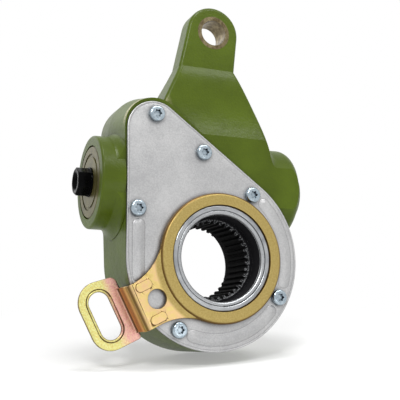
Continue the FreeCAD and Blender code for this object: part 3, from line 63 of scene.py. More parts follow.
def linearColor(hexText):
    # sRGB hex to the linear colour that Blender's sockets want
    channels = [int(hexText[i:i + 2], 16) / 255 for i in (1, 3, 5)]
    return [c / 12.92 if c <= 0.04045 else ((c + 0.055) / 1.055) ** 2.4 for c in channels] + [1.0]


def patternScale(sizeMm):
    # the scale of a noise with blots of this size
    return 1 / (sizeMm * mm)


def addNode(tree, kind, settings=None, inputs=None, stops=()):
    # one node with its settings, its sockets as values or as links, and the colours of a ramp; a Mix node's
    # sockets go by number, 0 for its factor and 6 and 7 for its colours
    node = tree.nodes.new("ShaderNode" + kind)
    for name, value in (settings or {}).items():
        setattr(node, name, value)
    for name, value in (inputs or {}).items():
        if isinstance(value, bpy.types.Node):
            value = next(socket for socket in value.outputs if socket.enabled)
        if isinstance(value, bpy.types.NodeSocket):
            tree.links.new(value, node.inputs[name])
        else:
            node.inputs[name].default_value = value
    for spare in range(len(stops) - 2):
        node.color_ramp.elements.new(0.5)
    for number, (position, hexText) in enumerate(stops):
        node.color_ramp.elements[number].position = position
        node.color_ramp.elements[number].color = linearColor(hexText)
    return node


def newMaterial(name):
    # an empty material, and the point of the object that is being coloured
    material = bpy.data.materials.new(name)
    material.use_nodes = True
    material.node_tree.nodes.clear()
    place = addNode(material.node_tree, "TexCoord").outputs["Object"]
    return material, material.node_tree, place


def paintCreaseShade(tree, colour, reachMm, tone):
    # painted shade: the colour falls to this tone of itself in a narrow gap, where shade gathers
    crease = addNode(tree, "AmbientOcclusion", {"samples": 4}, {"Distance": reachMm * mm})
    shade = addNode(tree, "MapRange", {}, {"Value": crease.outputs["AO"], "To Min": tone})
    return addNode(tree, "Mix", {"data_type": "RGBA", "blend_type": "MULTIPLY"}, {
        0: 1.0, 6: colour, 7: shade})


print("helpers ready")

# the rim, at the depth rimMm, gets a painted pale highlight in patches round one point by the cover's
# corner: none at the first of two distances, strongest at the second
enamel = {
    "paint": [(0.35, "#3f4d08"), (0.65, "#4a5a0f")], "cloudMm": 24.0,
    "peelMm": 1.2, "peelDepthMm": 0.12, "peelStrength": 0.8,
    "sandMm": 4.5, "sandDepthMm": 0.2, "sandStrength": 0.6,
    "paintedHighlight": "#c4bc90", "highlightPlace": (-0.041, -0.022, 0.078), "highlightMm": (17.0, 8.5),
    "highlightMost": 0.9, "highlightSpots": (0.35, 0.55), "betweenSpots": 0.3, "rimMm": -21.2, "rimHalfMm": 1.4,
    "shadeReachMm": 3.0, "shadeTone": 0.3,
    "gloss": (0.34, 0.46), "specular": 0.03, "coat": 0.34, "coatRoughness": 0.28}


def enamelOnCastIron():
    # olive enamel sprayed over sand-cast iron: its clear gloss lies on orange peel and a lumpy skin, which
    # break up every highlight, and by the cover's corner the rim carries a painted pale highlight
    material, tree, place = newMaterial("enamelOnCastIron")
    clouds = addNode(tree, "TexNoise", {}, {
        "Vector": place, "Scale": patternScale(enamel["cloudMm"]), "Detail": 4.0})
    peel = addNode(tree, "TexNoise", {}, {
        "Vector": place, "Scale": patternScale(enamel["peelMm"]), "Detail": 2.0})
    sand = addNode(tree, "TexNoise", {}, {
        "Vector": place, "Scale": patternScale(enamel["sandMm"]), "Detail": 3.0})
    paint = addNode(tree, "ValToRGB", {}, {"Fac": clouds}, enamel["paint"])
    depth = addNode(tree, "SeparateXYZ", {}, {"Vector": place}).outputs["Y"]
    rim = addNode(tree, "Math", {"operation": "COMPARE"}, {
        0: depth, 1: enamel["rimMm"] * mm, 2: enamel["rimHalfMm"] * mm})
    away = addNode(tree, "VectorMath", {"operation": "DISTANCE"}, {0: place, 1: enamel["highlightPlace"]})
    near = addNode(tree, "MapRange", {}, {
        "Value": away.outputs["Value"], "From Min": enamel["highlightMm"][0] * mm,
        "From Max": enamel["highlightMm"][1] * mm, "To Max": enamel["highlightMost"]})
    patchy = addNode(tree, "MapRange", {}, {
        "Value": peel, "From Min": enamel["highlightSpots"][0], "From Max": enamel["highlightSpots"][1],
        "To Min": enamel["betweenSpots"]})
    # painted highlight: the pale colour is mixed in on the rim near the corner, in patches
    highlightShare = addNode(tree, "Math", {"operation": "MULTIPLY"}, {0: rim, 1: near})
    highlightShare = addNode(tree, "Math", {"operation": "MULTIPLY"}, {0: highlightShare, 1: patchy})
    colour = addNode(tree, "Mix", {"data_type": "RGBA"}, {
        0: highlightShare, 6: paint, 7: linearColor(enamel["paintedHighlight"])})
    # painted shade in narrow gaps, which draws a dark line along the cover's edge
    colour = paintCreaseShade(tree, colour, enamel["shadeReachMm"], enamel["shadeTone"])
    gloss = addNode(tree, "MapRange", {}, {
        "Value": peel, "From Min": noiseLow, "From Max": noiseHigh,
        "To Min": enamel["gloss"][0], "To Max": enamel["gloss"][1]})
    lumps = addNode(tree, "Bump", {}, {
        "Height": sand, "Distance": enamel["sandDepthMm"] * mm, "Strength": enamel["sandStrength"]})
    skin = addNode(tree, "Bump", {}, {
        "Height": peel, "Distance": enamel["peelDepthMm"] * mm, "Strength": enamel["peelStrength"],
        "Normal": lumps})
    shader = addNode(tree, "BsdfPrincipled", {}, {
        "Base Color": colour, "Roughness": gloss, "Specular IOR Level": enamel["specular"], "Normal": skin,
        "Coat Weight": enamel["coat"], "Coat Roughness": enamel["coatRoughness"], "Coat Normal": skin})
    addNode(tree, "OutputMaterial", {}, {"Surface": shader})
    return material


# lift and the shares of the two noises add up to the sheet's place between its tones
cover = {
    "sheet": [(0.36, "#a3a3a4"), (0.64, "#bababa")], "cloudMm": 16.0, "cloudShare": 0.5,
    "grainMm": 0.6, "grainShare": 0.6, "lift": -0.05, "grainDepthMm": 0.03, "grainStrength": 0.7,
    "shadeReachMm": 2.0, "shadeTone": 0.2, "metallic": 0.85, "gloss": (0.36, 0.50)}


def tumbledAluminium():
    # pressed aluminium sheet, tumbled after blanking: an even satin with a fine speckle, and painted shade
    # in its creases; the real speckle is finer, and is drawn this coarse to show
    material, tree, place = newMaterial("tumbledAluminium")
    clouds = addNode(tree, "TexNoise", {}, {
        "Vector": place, "Scale": patternScale(cover["cloudMm"]), "Detail": 3.0})
    grain = addNode(tree, "TexNoise", {}, {
        "Vector": place, "Scale": patternScale(cover["grainMm"]), "Detail": 2.0})
    mottle = addNode(tree, "Math", {"operation": "MULTIPLY_ADD"}, {
        0: grain, 1: cover["grainShare"], 2: cover["lift"]})
    mottle = addNode(tree, "Math", {"operation": "MULTIPLY_ADD"}, {
        0: clouds, 1: cover["cloudShare"], 2: mottle})
    sheet = addNode(tree, "ValToRGB", {}, {"Fac": mottle}, cover["sheet"])
    colour = paintCreaseShade(tree, sheet, cover["shadeReachMm"], cover["shadeTone"])
    gloss = addNode(tree, "MapRange", {}, {
        "Value": grain, "From Min": noiseLow, "From Max": noiseHigh,
        "To Min": cover["gloss"][0], "To Max": cover["gloss"][1]})
    skin = addNode(tree, "Bump", {}, {
        "Height": grain, "Distance": cover["grainDepthMm"] * mm, "Strength": cover["grainStrength"]})
    shader = addNode(tree, "BsdfPrincipled", {}, {
        "Base Color": colour, "Metallic": cover["metallic"], "Roughness": gloss, "Normal": skin})
    addNode(tree, "OutputMaterial", {}, {"Surface": shader})
    return material


# the arm points armDegrees below -X; a pair in millimetres is where one film starts to give way and where
# it has, out from the camshaft's axis or, at the two fronts, in depth
chromate = {
    "ringFilm": [(0.3, "#9c874c"), (0.75, "#b19d61")],
    "plateFilm": [(0.3, "#bfa55f"), (0.44, "#d6bd78"), (0.56, "#d8b586"), (0.64, "#d6bd78"),
                  (0.74, "#d4cd80")],
    "pinkFilm": [(0.3, "#cb9088"), (0.5, "#dcaaa0"), (0.72, "#dfc09c")],
    "limeFilm": [(0.28, "#c8b46c"), (0.5, "#d4cd80"), (0.75, "#d6dba2")],
    "bendFilmAndShading": [(0.0, "#9a7430"), (0.25, "#d8b463"), (0.5, "#9a6c1f"), (0.75, "#a8701e"), (1.0, "#c99a48")],
    "cutEdge": "#5a3f16", "cutEdgeTilt": (0.985, 0.8), "cutEdgeMost": 0.92, "cutEdgeInBend": -0.9,
    "armDegrees": 26.6, "ringEndMm": (36.2, 37.7), "bendMm": (49.5, 51.0), "slotSideMm": (63.6, 68.4),
    "plateFrontMm": (-26.4, -25.6), "loopFrontMm": (-15.5, -15.0), "driftMm": 12.0, "driftSlope": -0.12,
    "cloudMm": 8.0, "speckMm": 0.8, "speckDepthMm": 0.04, "speckStrength": 0.6,
    "metallic": 0.75, "gloss": (0.30, 0.44)}


def yellowChromateOnZinc():
    # zinc plate in yellow chromate: a thin film, straw gold where it is even, pink and lime where the bath
    # pooled in the bent end, amber in the bend with painted bright and dark bands for its highlight and
    # shade, and brown along the cut edges; the specks are drawn coarser than the real ones, to show
    material, tree, place = newMaterial("yellowChromateOnZinc")
    turn = math.radians(180 + chromate["armDegrees"])
    arm = addNode(tree, "SeparateXYZ", {}, {
        "Vector": addNode(tree, "Mapping", {}, {"Vector": place, "Rotation": (0.0, turn, 0.0)})})
    clouds = addNode(tree, "TexNoise", {}, {
        "Vector": place, "Scale": patternScale(chromate["cloudMm"]), "Detail": 4.0, "Roughness": 0.6})
    speck = addNode(tree, "TexNoise", {}, {
        "Vector": place, "Scale": patternScale(chromate["speckMm"]), "Detail": 2.0})
    ringFilm = addNode(tree, "ValToRGB", {}, {"Fac": speck}, chromate["ringFilm"])
    plateFilm = addNode(tree, "ValToRGB", {}, {"Fac": clouds}, chromate["plateFilm"])
    radius = addNode(tree, "VectorMath", {"operation": "LENGTH"}, {
        0: addNode(tree, "Mapping", {}, {"Vector": place, **axisLine("camshaft_spline")})})
    onPlate = addNode(tree, "MapRange", {}, {
        "Value": radius, "From Min": chromate["ringEndMm"][0] * mm,
        "From Max": chromate["ringEndMm"][1] * mm})
    colour = addNode(tree, "Mix", {"data_type": "RGBA"}, {0: onPlate, 6: ringFilm, 7: plateFilm})
    # the bent end: pink from the bend to the slot, lime round the slot and beyond it
    drift = addNode(tree, "Math", {"operation": "MULTIPLY_ADD"}, {
        0: clouds, 1: chromate["driftMm"] * mm, 2: arm.outputs["X"]})
    drift = addNode(tree, "Math", {"operation": "MULTIPLY_ADD"}, {
        0: arm.outputs["Z"], 1: chromate["driftSlope"], 2: drift})
    past = addNode(tree, "MapRange", {}, {
        "Value": drift, "From Min": chromate["slotSideMm"][0] * mm,
        "From Max": chromate["slotSideMm"][1] * mm})
    pinkFilm = addNode(tree, "ValToRGB", {}, {"Fac": speck}, chromate["pinkFilm"])
    limeFilm = addNode(tree, "ValToRGB", {}, {"Fac": speck}, chromate["limeFilm"])
    bentFilm = addNode(tree, "Mix", {"data_type": "RGBA"}, {0: past, 6: pinkFilm, 7: limeFilm})
    onBent = addNode(tree, "MapRange", {}, {
        "Value": arm.outputs["Y"], "From Min": chromate["loopFrontMm"][0] * mm,
        "From Max": chromate["loopFrontMm"][1] * mm})
    colour = addNode(tree, "Mix", {"data_type": "RGBA"}, {0: onBent, 6: colour, 7: bentFilm})
    # the step between plate and bent end is amber, and bands across it, bright and dark, are painted
    # highlight and shade of the bend
    behind = addNode(tree, "MapRange", {}, {
        "Value": arm.outputs["Y"], "From Min": chromate["plateFrontMm"][0] * mm,
        "From Max": chromate["plateFrontMm"][1] * mm})
    before = addNode(tree, "Math", {"operation": "SUBTRACT"}, {0: 1.0, 1: onBent})
    inBend = addNode(tree, "Math", {"operation": "MULTIPLY"}, {0: behind, 1: before})
    pastBend = addNode(tree, "MapRange", {}, {
        "Value": arm.outputs["X"], "From Min": chromate["bendMm"][0] * mm,
        "From Max": chromate["bendMm"][1] * mm})
    inBend = addNode(tree, "Math", {"operation": "MULTIPLY"}, {0: inBend, 1: pastBend})
    along = addNode(tree, "MapRange", {}, {
        "Value": arm.outputs["Y"], "From Min": chromate["plateFrontMm"][1] * mm,
        "From Max": chromate["loopFrontMm"][1] * mm})
    bendFilmAndShading = addNode(tree, "ValToRGB", {}, {"Fac": along}, chromate["bendFilmAndShading"])
    colour = addNode(tree, "Mix", {"data_type": "RGBA"}, {0: inBend, 6: colour, 7: bendFilmAndShading})
    # the cut edges are the faces that look neither forwards nor back
    facing = addNode(tree, "SeparateXYZ", {}, {"Vector": addNode(tree, "TexCoord").outputs["Normal"]})
    flat = addNode(tree, "Math", {"operation": "ABSOLUTE"}, {0: facing.outputs["Y"]})
    side = addNode(tree, "MapRange", {}, {
        "Value": flat, "From Min": chromate["cutEdgeTilt"][0], "From Max": chromate["cutEdgeTilt"][1],
        "To Max": chromate["cutEdgeMost"]})
    side = addNode(tree, "Math", {"operation": "MULTIPLY_ADD"}, {
        0: inBend, 1: chromate["cutEdgeInBend"], 2: side})
    side = addNode(tree, "Math", {"operation": "MAXIMUM"}, {0: side, 1: 0.0})
    colour = addNode(tree, "Mix", {"data_type": "RGBA"}, {
        0: side, 6: colour, 7: linearColor(chromate["cutEdge"])})
    gloss = addNode(tree, "MapRange", {}, {
        "Value": speck, "From Min": noiseLow, "From Max": noiseHigh,
        "To Min": chromate["gloss"][0], "To Max": chromate["gloss"][1]})
    skin = addNode(tree, "Bump", {}, {
        "Height": speck, "Distance": chromate["speckDepthMm"] * mm, "Strength": chromate["speckStrength"]})
    shader = addNode(tree, "BsdfPrincipled", {}, {
        "Base Color": colour, "Metallic": chromate["metallic"], "Roughness": gloss, "Normal": skin})
    addNode(tree, "OutputMaterial", {}, {"Surface": shader})
    return material


latheRings = {"depthMm": 0.006, "strength": 0.3}


def turnedMetal(name, look):
    # a face cut on a lathe: fine rings round its axis under a faint cloud; the tool's real marks are some
    # 0.1 mm apart, and are drawn coarser to show
    material, tree, place = newMaterial(name)
    radius = addNode(tree, "VectorMath", {"operation": "LENGTH"}, {
        0: addNode(tree, "Mapping", {}, {"Vector": place, **look["line"]})})
    phase = addNode(tree, "Math", {"operation": "MULTIPLY"}, {
        0: radius, 1: 2 * math.pi / (look["ringMm"] * mm)})
    rings = addNode(tree, "Math", {"operation": "SINE"}, {0: phase})
    clouds = addNode(tree, "TexNoise", {}, {
        "Vector": place, "Scale": patternScale(look["cloudMm"]), "Detail": 3.0})
    tone = addNode(tree, "Math", {"operation": "MULTIPLY_ADD"}, {0: rings, 1: look["ringTone"], 2: clouds})
    metal = addNode(tree, "ValToRGB", {}, {"Fac": tone}, [
        (noiseLow, look["dark"]), (noiseHigh, look["light"])])
    colour = paintCreaseShade(tree, metal, look["shadeReachMm"], look["shadeTone"])
    skin = addNode(tree, "Bump", {}, {
        "Height": rings, "Distance": latheRings["depthMm"] * mm, "Strength": latheRings["strength"]})
    shader = addNode(tree, "BsdfPrincipled", {}, {
        "Base Color": colour, "Metallic": look["metallic"], "Roughness": look["roughness"], "Normal": skin})
    addNode(tree, "OutputMaterial", {}, {"Surface": shader})
    return material


# bare steel of the hub's turned face: a bright grey, with painted shade that turns it black where its inner
# corners close
hubSteel = {
    "line": axisLine("camshaft_spline"), "ringMm": 0.45, "ringTone": 0.03, "cloudMm": 6.0,
    "light": "#b2b4b6", "dark": "#8d9093", "metallic": 1.0, "roughness": 0.3,
    "shadeReachMm": 1.5, "shadeTone": 0.1}
# bronze of the eye's bush: brown with age, with painted shade that darkens it down its bore
bushBronze = {
    "line": axisLine("clevis_pin_bore"), "ringMm": 0.4, "ringTone": 0.05, "cloudMm": 2.5,
    "light": "#867a5e", "dark": "#524732", "metallic": 1.0, "roughness": 0.28,
    "shadeReachMm": 3.0, "shadeTone": 0.35}
# olive chromate on the turned end cap: dull, with rings that stand out, and a little painted shade in its
# creases
capChromate = {
    "line": axisLine("adjuster_hexagon"), "ringMm": 1.1, "ringTone": 0.09, "cloudMm": 5.0,
    "light": "#625c31", "dark": "#494423", "metallic": 0.5, "roughness": 0.40,
    "shadeReachMm": 1.0, "shadeTone": 0.7}

screwZinc = {
    "plate": [(0.3, "#93a1ab"), (0.7, "#b4c0c8")], "cloudMm": 1.8, "cloudDepthMm": 0.03,
    "cloudStrength": 0.4, "driveShade": [(0.25, "#242a30"), (0.8, "#ffffff")], "driveShadeMm": 1.6,
    "gloss": (0.16, 0.26)}


def brightZincPlate():
    # bright zinc plate on cold-headed screws: blue-white and glossy, with painted shade darkening the drives
    # and the gaps round the heads
    material, tree, place = newMaterial("brightZincPlate")
    clouds = addNode(tree, "TexNoise", {}, {
        "Vector": place, "Scale": patternScale(screwZinc["cloudMm"]), "Detail": 2.0})
    plate = addNode(tree, "ValToRGB", {}, {"Fac": clouds}, screwZinc["plate"])
    # painted shade: the plate darkens to near black where the drive and the head's rim close in
    crease = addNode(tree, "AmbientOcclusion", {"samples": 4}, {"Distance": screwZinc["driveShadeMm"] * mm})
    driveShade = addNode(tree, "ValToRGB", {}, {"Fac": crease.outputs["AO"]}, screwZinc["driveShade"])
    colour = addNode(tree, "Mix", {"data_type": "RGBA", "blend_type": "MULTIPLY"}, {
        0: 1.0, 6: plate, 7: driveShade})
    gloss = addNode(tree, "MapRange", {}, {
        "Value": clouds, "From Min": noiseLow, "From Max": noiseHigh,
        "To Min": screwZinc["gloss"][0], "To Max": screwZinc["gloss"][1]})
    skin = addNode(tree, "Bump", {}, {
        "Height": clouds, "Distance": screwZinc["cloudDepthMm"] * mm,
        "Strength": screwZinc["cloudStrength"]})
    shader = addNode(tree, "BsdfPrincipled", {}, {
        "Base Color": colour, "Metallic": 1.0, "Roughness": gloss, "Normal": skin})
    addNode(tree, "OutputMaterial", {}, {"Surface": shader})
    return material


# on the teeth's front bevels, the distance from the axis and the depth add up to bevelSumMm
spline = {
    "teeth": [(0.3, "#060607"), (0.7, "#0e0e0f")], "wall": "#1b1b1d", "wallFrontMm": -14.5,
    "bright": "#a4a6a8", "rimBackMm": -26.2, "bevelSumMm": 5.1, "bevelBandMm": 0.07,
    "touchedSpots": (0.46, 0.6), "touchedMost": 0.5, "grainMm": 0.7, "grainDepthMm": 0.01,
    "grainStrength": 0.3, "gloss": (0.8, 0.62), "bareSmoother": -0.38, "specular": 0.03}


def oiledPhosphateSteel():
    # manganese phosphate soaked in oil: near black and dull, with bare steel on the turned front rim and
    # bright points where a camshaft has touched the teeth's bevels
    material, tree, place = newMaterial("oiledPhosphateSteel")
    grain = addNode(tree, "TexNoise", {}, {
        "Vector": place, "Scale": patternScale(spline["grainMm"]), "Detail": 3.0})
    teeth = addNode(tree, "ValToRGB", {}, {"Fac": grain}, spline["teeth"])
    depth = addNode(tree, "SeparateXYZ", {}, {"Vector": place}).outputs["Y"]
    onWall = addNode(tree, "Math", {"operation": "LESS_THAN"}, {0: depth, 1: spline["wallFrontMm"] * mm})
    colour = addNode(tree, "Mix", {"data_type": "RGBA"}, {
        0: onWall, 6: teeth, 7: linearColor(spline["wall"])})
    radius = addNode(tree, "VectorMath", {"operation": "LENGTH"}, {
        0: addNode(tree, "Mapping", {}, {"Vector": place, **axisLine("camshaft_spline")})})
    bevelSum = addNode(tree, "Math", {"operation": "ADD"}, {0: radius, 1: depth})
    onBevel = addNode(tree, "Math", {"operation": "COMPARE"}, {
        0: bevelSum, 1: spline["bevelSumMm"] * mm, 2: spline["bevelBandMm"] * mm})
    onBevel = addNode(tree, "Math", {"operation": "MULTIPLY"}, {0: onBevel, 1: onWall})
    touched = addNode(tree, "MapRange", {}, {
        "Value": grain, "From Min": spline["touchedSpots"][0], "From Max": spline["touchedSpots"][1],
        "To Max": spline["touchedMost"]})
    points = addNode(tree, "Math", {"operation": "MULTIPLY"}, {0: onBevel, 1: touched})
    onRim = addNode(tree, "Math", {"operation": "LESS_THAN"}, {0: depth, 1: spline["rimBackMm"] * mm})
    bare = addNode(tree, "Math", {"operation": "MAXIMUM"}, {0: points, 1: onRim})
    colour = addNode(tree, "Mix", {"data_type": "RGBA"}, {
        0: bare, 6: colour, 7: linearColor(spline["bright"])})
    gloss = addNode(tree, "MapRange", {}, {
        "Value": grain, "From Min": noiseLow, "From Max": noiseHigh,
        "To Min": spline["gloss"][0], "To Max": spline["gloss"][1]})
    gloss = addNode(tree, "Math", {"operation": "MULTIPLY_ADD"}, {
        0: bare, 1: spline["bareSmoother"], 2: gloss})
    skin = addNode(tree, "Bump", {}, {
        "Height": grain, "Distance": spline["grainDepthMm"] * mm, "Strength": spline["grainStrength"]})
    shader = addNode(tree, "BsdfPrincipled", {}, {
        "Base Color": colour, "Metallic": bare, "Roughness": gloss, "Normal": skin,
        "Specular IOR Level": spline["specular"]})
    addNode(tree, "OutputMaterial", {}, {"Surface": shader})
    return material


def evenFinish(name, look):
    # one finish with a slight mottle, and a grain that breaks its gloss
    material, tree, place = newMaterial(name)
    grain = addNode(tree, "TexNoise", {}, {
        "Vector": place, "Scale": patternScale(look["grainMm"]), "Detail": 3.0})
    colour = addNode(tree, "ValToRGB", {}, {"Fac": grain}, [
        (noiseLow, look["dark"]), (noiseHigh, look["light"])])
    gloss = addNode(tree, "MapRange", {}, {
        "Value": grain, "From Min": noiseLow, "From Max": noiseHigh,
        "To Min": look["gloss"][0], "To Max": look["gloss"][1]})
    skin = addNode(tree, "Bump", {}, {
        "Height": grain, "Distance": look["grainDepthMm"] * mm, "Strength": look["grainStrength"]})
    shader = addNode(tree, "BsdfPrincipled", {}, {
        "Base Color": colour, "Metallic": look["metallic"], "Roughness": gloss, "Normal": skin,
        "Specular IOR Level": look["specular"]})
    addNode(tree, "OutputMaterial", {}, {"Surface": shader})
    return material


# black oxide under oil on a forged hexagon: nearly black and smooth, with sharp glints on its corners
hexagonOxide = {
    "light": "#070708", "dark": "#030303", "grainMm": 1.4, "grainDepthMm": 0.02, "grainStrength": 0.5,
    "metallic": 0.0, "gloss": (0.10, 0.2), "specular": 0.04}
# ground steel of the rack, clutch, races and clips: clean grey, with a soft sheen
groundSteel = {
    "light": "#b9babb", "dark": "#8f9193", "grainMm": 1.0, "grainDepthMm": 0.02, "grainStrength": 0.5,
    "metallic": 1.0, "gloss": (0.24, 0.36), "specular": 0.5}
# moulded nitrile rubber of the seals: even and dull black
nitrile = {
    "light": "#1a1a1a", "dark": "#101010", "grainMm": 0.8, "grainDepthMm": 0.02, "grainStrength": 0.5,
    "metallic": 0.0, "gloss": (0.5, 0.6), "specular": 0.5}
# gasket paper soaked in oil: dark and fibrous, with no shine
oiledPaper = {
    "light": "#2b2b2a", "dark": "#1a1a19", "grainMm": 0.6, "grainDepthMm": 0.05, "grainStrength": 0.5,
    "metallic": 0.0, "gloss": (0.7, 0.85), "specular": 0.5}
# brass of the ball cage and the worm's bush: run in to a warm satin
wornBrass = {
    "light": "#c9ab5c", "dark": "#93793f", "grainMm": 1.0, "grainDepthMm": 0.02, "grainStrength": 0.5,
    "metallic": 1.0, "gloss": (0.28, 0.4), "specular": 0.5}

steel = evenFinish("groundSteel", groundSteel)
rubber = evenFinish("mouldedNitrile", nitrile)
brass = evenFinish("wornBrass", wornBrass)
finishes = {
    "housing": enamelOnCastIron(),
    "cover_plate": tumbledAluminium(),
    "cover_screws": brightZincPlate(),
    "cover_gasket": evenFinish("oiledPaper", oiledPaper),
    "control_arm": yellowChromateOnZinc(),
    "control_hub": turnedMetal("turnedHubSteel", hubSteel),
    "clevis_bush": turnedMetal("turnedBronze", bushBronze),
    "end_cap": turnedMetal("turnedOliveChromate", capChromate),
    "worm_wheel": oiledPhosphateSteel(),
    "worm_screw": evenFinish("oiledBlackOxide", hexagonOxide),
    "worm_bush": brass,
    "bearing_cage": brass}
seals = ["hub_seal", "wheel_seal_front", "wheel_seal_rear", "cap_seal", "shaft_seal"]

for name, node in nodes.items():
    if node.type == "MESH":
        node.data.materials.clear()
        node.data.materials.append(finishes.get(name, rubber if name in seals else steel))
print("finishes on", len(nodes), "nodes")

# for all the finer pieces: what is welded, what counts as level and as square on, and what is shaded smooth
fineMesh = {"weldMm": 0.001, "levelMm": 0.01, "squareOn": 0.999, "shadeDegrees": 32, "flatWeight": 100}


def mergedForm(nodeName, look, withinX=math.inf):
    # a node's mesh in one piece, with its outward corners rounded where they are sharper than sharpDegrees
    # and lie left of withinX
    form = bmesh.new()
    form.from_mesh(nodes[nodeName].data)
    bmesh.ops.remove_doubles(form, verts=form.verts, dist=fineMesh["weldMm"] * mm)
    corners = [edge for edge in form.edges if len(edge.link_faces) == 2 and edge.is_convex
               and edge.calc_face_angle() > math.radians(look["sharpDegrees"])
               and max(end.co.x for end in edge.verts) < withinX]
    bmesh.ops.bevel(form, geom=corners, affect="EDGES", offset=look["roundMm"] * mm, segments=2, profile=0.5,
                    material=-1, clamp_overlap=False, loop_slide=False)
    return form


def facesAt(form, axis, place):
    # the flat faces at this place along an axis, 0 for x or 1 for y, that look back along it
    return [face for face in form.faces if face.normal[axis] < -fineMesh["squareOn"]
            and abs(face.calc_center_median()[axis] - place) < fineMesh["levelMm"] * mm]


def finishForm(form, pieceName, nodeName, body):
    # the form becomes a piece that stands for its node
    mesh = bpy.data.meshes.new(pieceName)
    form.to_mesh(mesh)
    form.free()
    mesh.polygons.foreach_set("use_smooth", [True] * len(mesh.polygons))
    mesh.set_sharp_from_angle(angle=math.radians(fineMesh["shadeDegrees"]))
    mesh.materials.append(finishes[nodeName])
    piece = bpy.data.objects.new(pieceName, mesh)
    bpy.context.scene.collection.objects.link(piece)
    even = piece.modifiers.new("flatFacesLeadTheShading", "WEIGHTED_NORMAL")
    even.weight = fineMesh["flatWeight"]
    even.keep_sharp = True
    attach(piece, body)
    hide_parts(nodeName)


# the drawn line is a groove with sloping sides, landMm inside the rim and twice grooveHalfMm wide
coverRim = {
    "roundMm": 0.25, "sharpDegrees": 75, "frontMm": -25.0, "landMm": 0.55, "grooveHalfMm": 0.24,
    "grooveDeepMm": 0.3}


def pressCover():
    # the cover's outline and its beads have a fine drawn line just inside their rims
    form = mergedForm("cover_plate", coverRim)
    front = facesAt(form, 1, coverRim["frontMm"] * mm)
    bmesh.ops.inset_region(form, faces=front, thickness=coverRim["landMm"] * mm, use_even_offset=True,
                           use_boundary=True)
    for deep in (-coverRim["grooveDeepMm"], coverRim["grooveDeepMm"]):
        bmesh.ops.inset_region(form, faces=front, thickness=coverRim["grooveHalfMm"] * mm, depth=deep * mm,
                               use_even_offset=True, use_boundary=True)
    finishForm(form, "pressedCover", "cover_plate", "casting")


armEdge = {"roundMm": 0.6, "sharpDegrees": 78}


def stampArm():
    # the stamped arm's cut edges are broken, so they catch a line of light
    form = mergedForm("control_arm", armEdge)
    finishForm(form, "stampedArm", "control_arm", "arm")


# the end keeps a flat lip, then slopes down to its dish
hexagon = {"roundMm": 0.22, "sharpDegrees": 30, "lipMm": 1.6, "slopeMm": 0.5, "dishMm": 1.8}


def breakHexagon():
    # the adjusting hexagon's corners are broken and shine, and its end is dished as forging leaves it
    form = mergedForm("worm_screw", hexagon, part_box("end_cap")[1][0])
    end = facesAt(form, 0, mounts["adjuster_hexagon"]["pos_m"][0])
    bmesh.ops.inset_region(form, faces=end, thickness=hexagon["lipMm"] * mm, use_even_offset=True)
    bmesh.ops.inset_region(form, faces=end, thickness=hexagon["slopeMm"] * mm, depth=-hexagon["dishMm"] * mm,
                           use_even_offset=True)
    finishForm(form, "wormWithHexagon", "worm_screw", "worm")


pressCover()
stampArm()
breakHexagon()
print("finer pieces ready")

# the photograph's camera, found from the circles of the hub, the eye and the cap
photoCamera = {
    "place": (-0.17492, -0.39940, -0.04049), "forward": (0.3946, 0.9030, 0.1699),
    "right": (0.9167, -0.3996, -0.0052), "lens": 72.0, "sensor": 36.0, "clipStart": 0.01}


def placeCamera():
    camera = bpy.data.objects.new("photoCamera", bpy.data.cameras.new("photoCamera"))
    bpy.context.scene.collection.objects.link(camera)
    camera.data.lens = photoCamera["lens"]
    camera.data.sensor_width = photoCamera["sensor"]
    camera.data.clip_start = photoCamera["clipStart"]
    forward = Vector(photoCamera["forward"]).normalized()
    right = Vector(photoCamera["right"])
    right = (right - forward * right.dot(forward)).normalized()
    turn = Matrix((right, right.cross(forward), -forward)).transposed().to_4x4()
    camera.matrix_world = Matrix.Translation(photoCamera["place"]) @ turn
    bpy.context.scene.camera = camera


# the floor tips a little towards the camera, which looks up along it; each glow is a distance and a strength
studio = {
    "floorRadius": 3.0, "floorSides": 64, "floorGap": 0.001, "floorTip": (-0.0695, -0.159, 0.985),
    "paper": "#f7f7f7", "glowNear": (0.07, 0.32), "glowFar": (0.22, 1.0), "roomLevel": 0.52,
    "white": (1.0, 1.0, 1.0, 1.0), "lampTarget": (0.0, 0.0, 0.03),
    "lamps": {
        "key": {"place": (-0.45, -0.75, 0.58), "size": 0.28, "watts": 4.2},
        "top": {"place": (-0.10, -0.35, 1.00), "size": 0.32, "watts": 4.2},
        "fill": {"place": (0.38, -0.63, 0.80), "size": 0.36, "watts": 2.4},
        "low": {"place": (0.12, -0.48, -0.09), "size": 0.12, "watts": 0.10},
        "back": {"place": (-0.45, 0.80, 0.60), "size": 0.8, "watts": 1.5}}}


def seenRays(tree):
    # 1 for the rays that make the background seen: the camera's, and those from metal and through glass
    path = addNode(tree, "LightPath")
    seen = addNode(tree, "Math", {"operation": "MAXIMUM"}, {
        0: path.outputs["Is Camera Ray"], 1: path.outputs["Is Glossy Ray"]})
    return addNode(tree, "Math", {"operation": "MAXIMUM"}, {0: seen, 1: path.outputs["Is Transmission Ray"]})


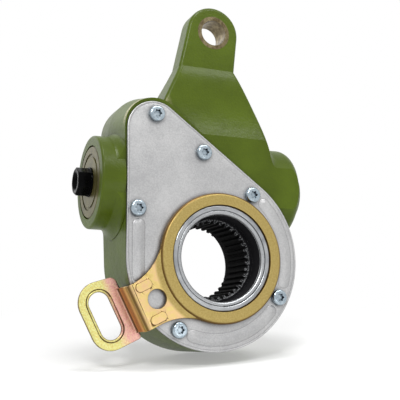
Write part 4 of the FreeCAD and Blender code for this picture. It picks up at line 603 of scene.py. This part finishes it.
def layFloor():
    # a pale disc just under the lowest point, which glows a little for the camera and keeps the shadow
    tip = Vector(studio["floorTip"]).normalized()
    lowest = min(tip.dot(node.matrix_world @ vertex.co) for node in nodes.values() if node.type == "MESH"
                 for vertex in node.data.vertices)
    form = bmesh.new()
    bmesh.ops.create_circle(form, cap_ends=True, segments=studio["floorSides"], radius=studio["floorRadius"])
    bmesh.ops.transform(form, verts=form.verts, matrix=tip.to_track_quat("Z", "Y").to_matrix().to_4x4())
    bmesh.ops.translate(form, verts=form.verts, vec=tip * (lowest - studio["floorGap"]))
    mesh = bpy.data.meshes.new("studioFloor")
    form.to_mesh(mesh)
    form.free()
    floor = bpy.data.objects.new("studioFloor", mesh)
    bpy.context.scene.collection.objects.link(floor)
    material, tree, place = newMaterial("paleStudioPaper")
    paper = addNode(tree, "BsdfDiffuse", {}, {"Color": linearColor(studio["paper"])})
    glow = addNode(tree, "Emission", {}, {"Color": studio["white"], "Strength": 1.0})
    away = addNode(tree, "VectorMath", {"operation": "LENGTH"}, {0: place})
    whiter = addNode(tree, "MapRange", {"interpolation_type": "SMOOTHSTEP"}, {
        "Value": away.outputs["Value"], "From Min": studio["glowNear"][0], "From Max": studio["glowFar"][0],
        "To Min": studio["glowNear"][1], "To Max": studio["glowFar"][1]})
    share = addNode(tree, "Math", {"operation": "MULTIPLY"}, {0: seenRays(tree), 1: whiter})
    both = addNode(tree, "MixShader", {}, {0: share, 1: paper, 2: glow})
    addNode(tree, "OutputMaterial", {}, {"Surface": both})
    mesh.materials.append(material)


def hangLamps():
    for name, look in studio["lamps"].items():
        light = bpy.data.lights.new(name, "AREA")
        light.shape = "DISK"
        light.size = look["size"]
        light.energy = look["watts"]
        lamp = bpy.data.objects.new(name, light)
        bpy.context.scene.collection.objects.link(lamp)
        lamp.location = look["place"]
        aim = Vector(studio["lampTarget"]) - lamp.location
        lamp.rotation_euler = aim.to_track_quat("-Z", "Y").to_euler()


def lightRoom():
    # white to the camera and in reflections, and a plainer level as light
    world = bpy.data.worlds.new("studioRoom")
    world.use_nodes = True
    tree = world.node_tree
    tree.nodes.clear()
    strength = addNode(tree, "MapRange", {}, {"Value": seenRays(tree), "To Min": studio["roomLevel"]})
    white = addNode(tree, "Background", {}, {"Color": studio["white"], "Strength": strength})
    addNode(tree, "OutputWorld", {}, {"Surface": white})
    bpy.context.scene.world = world


placeCamera()
layFloor()
hangLamps()
lightRoom()
bpy.context.scene.view_settings.view_transform = "Standard"
print("studio ready")
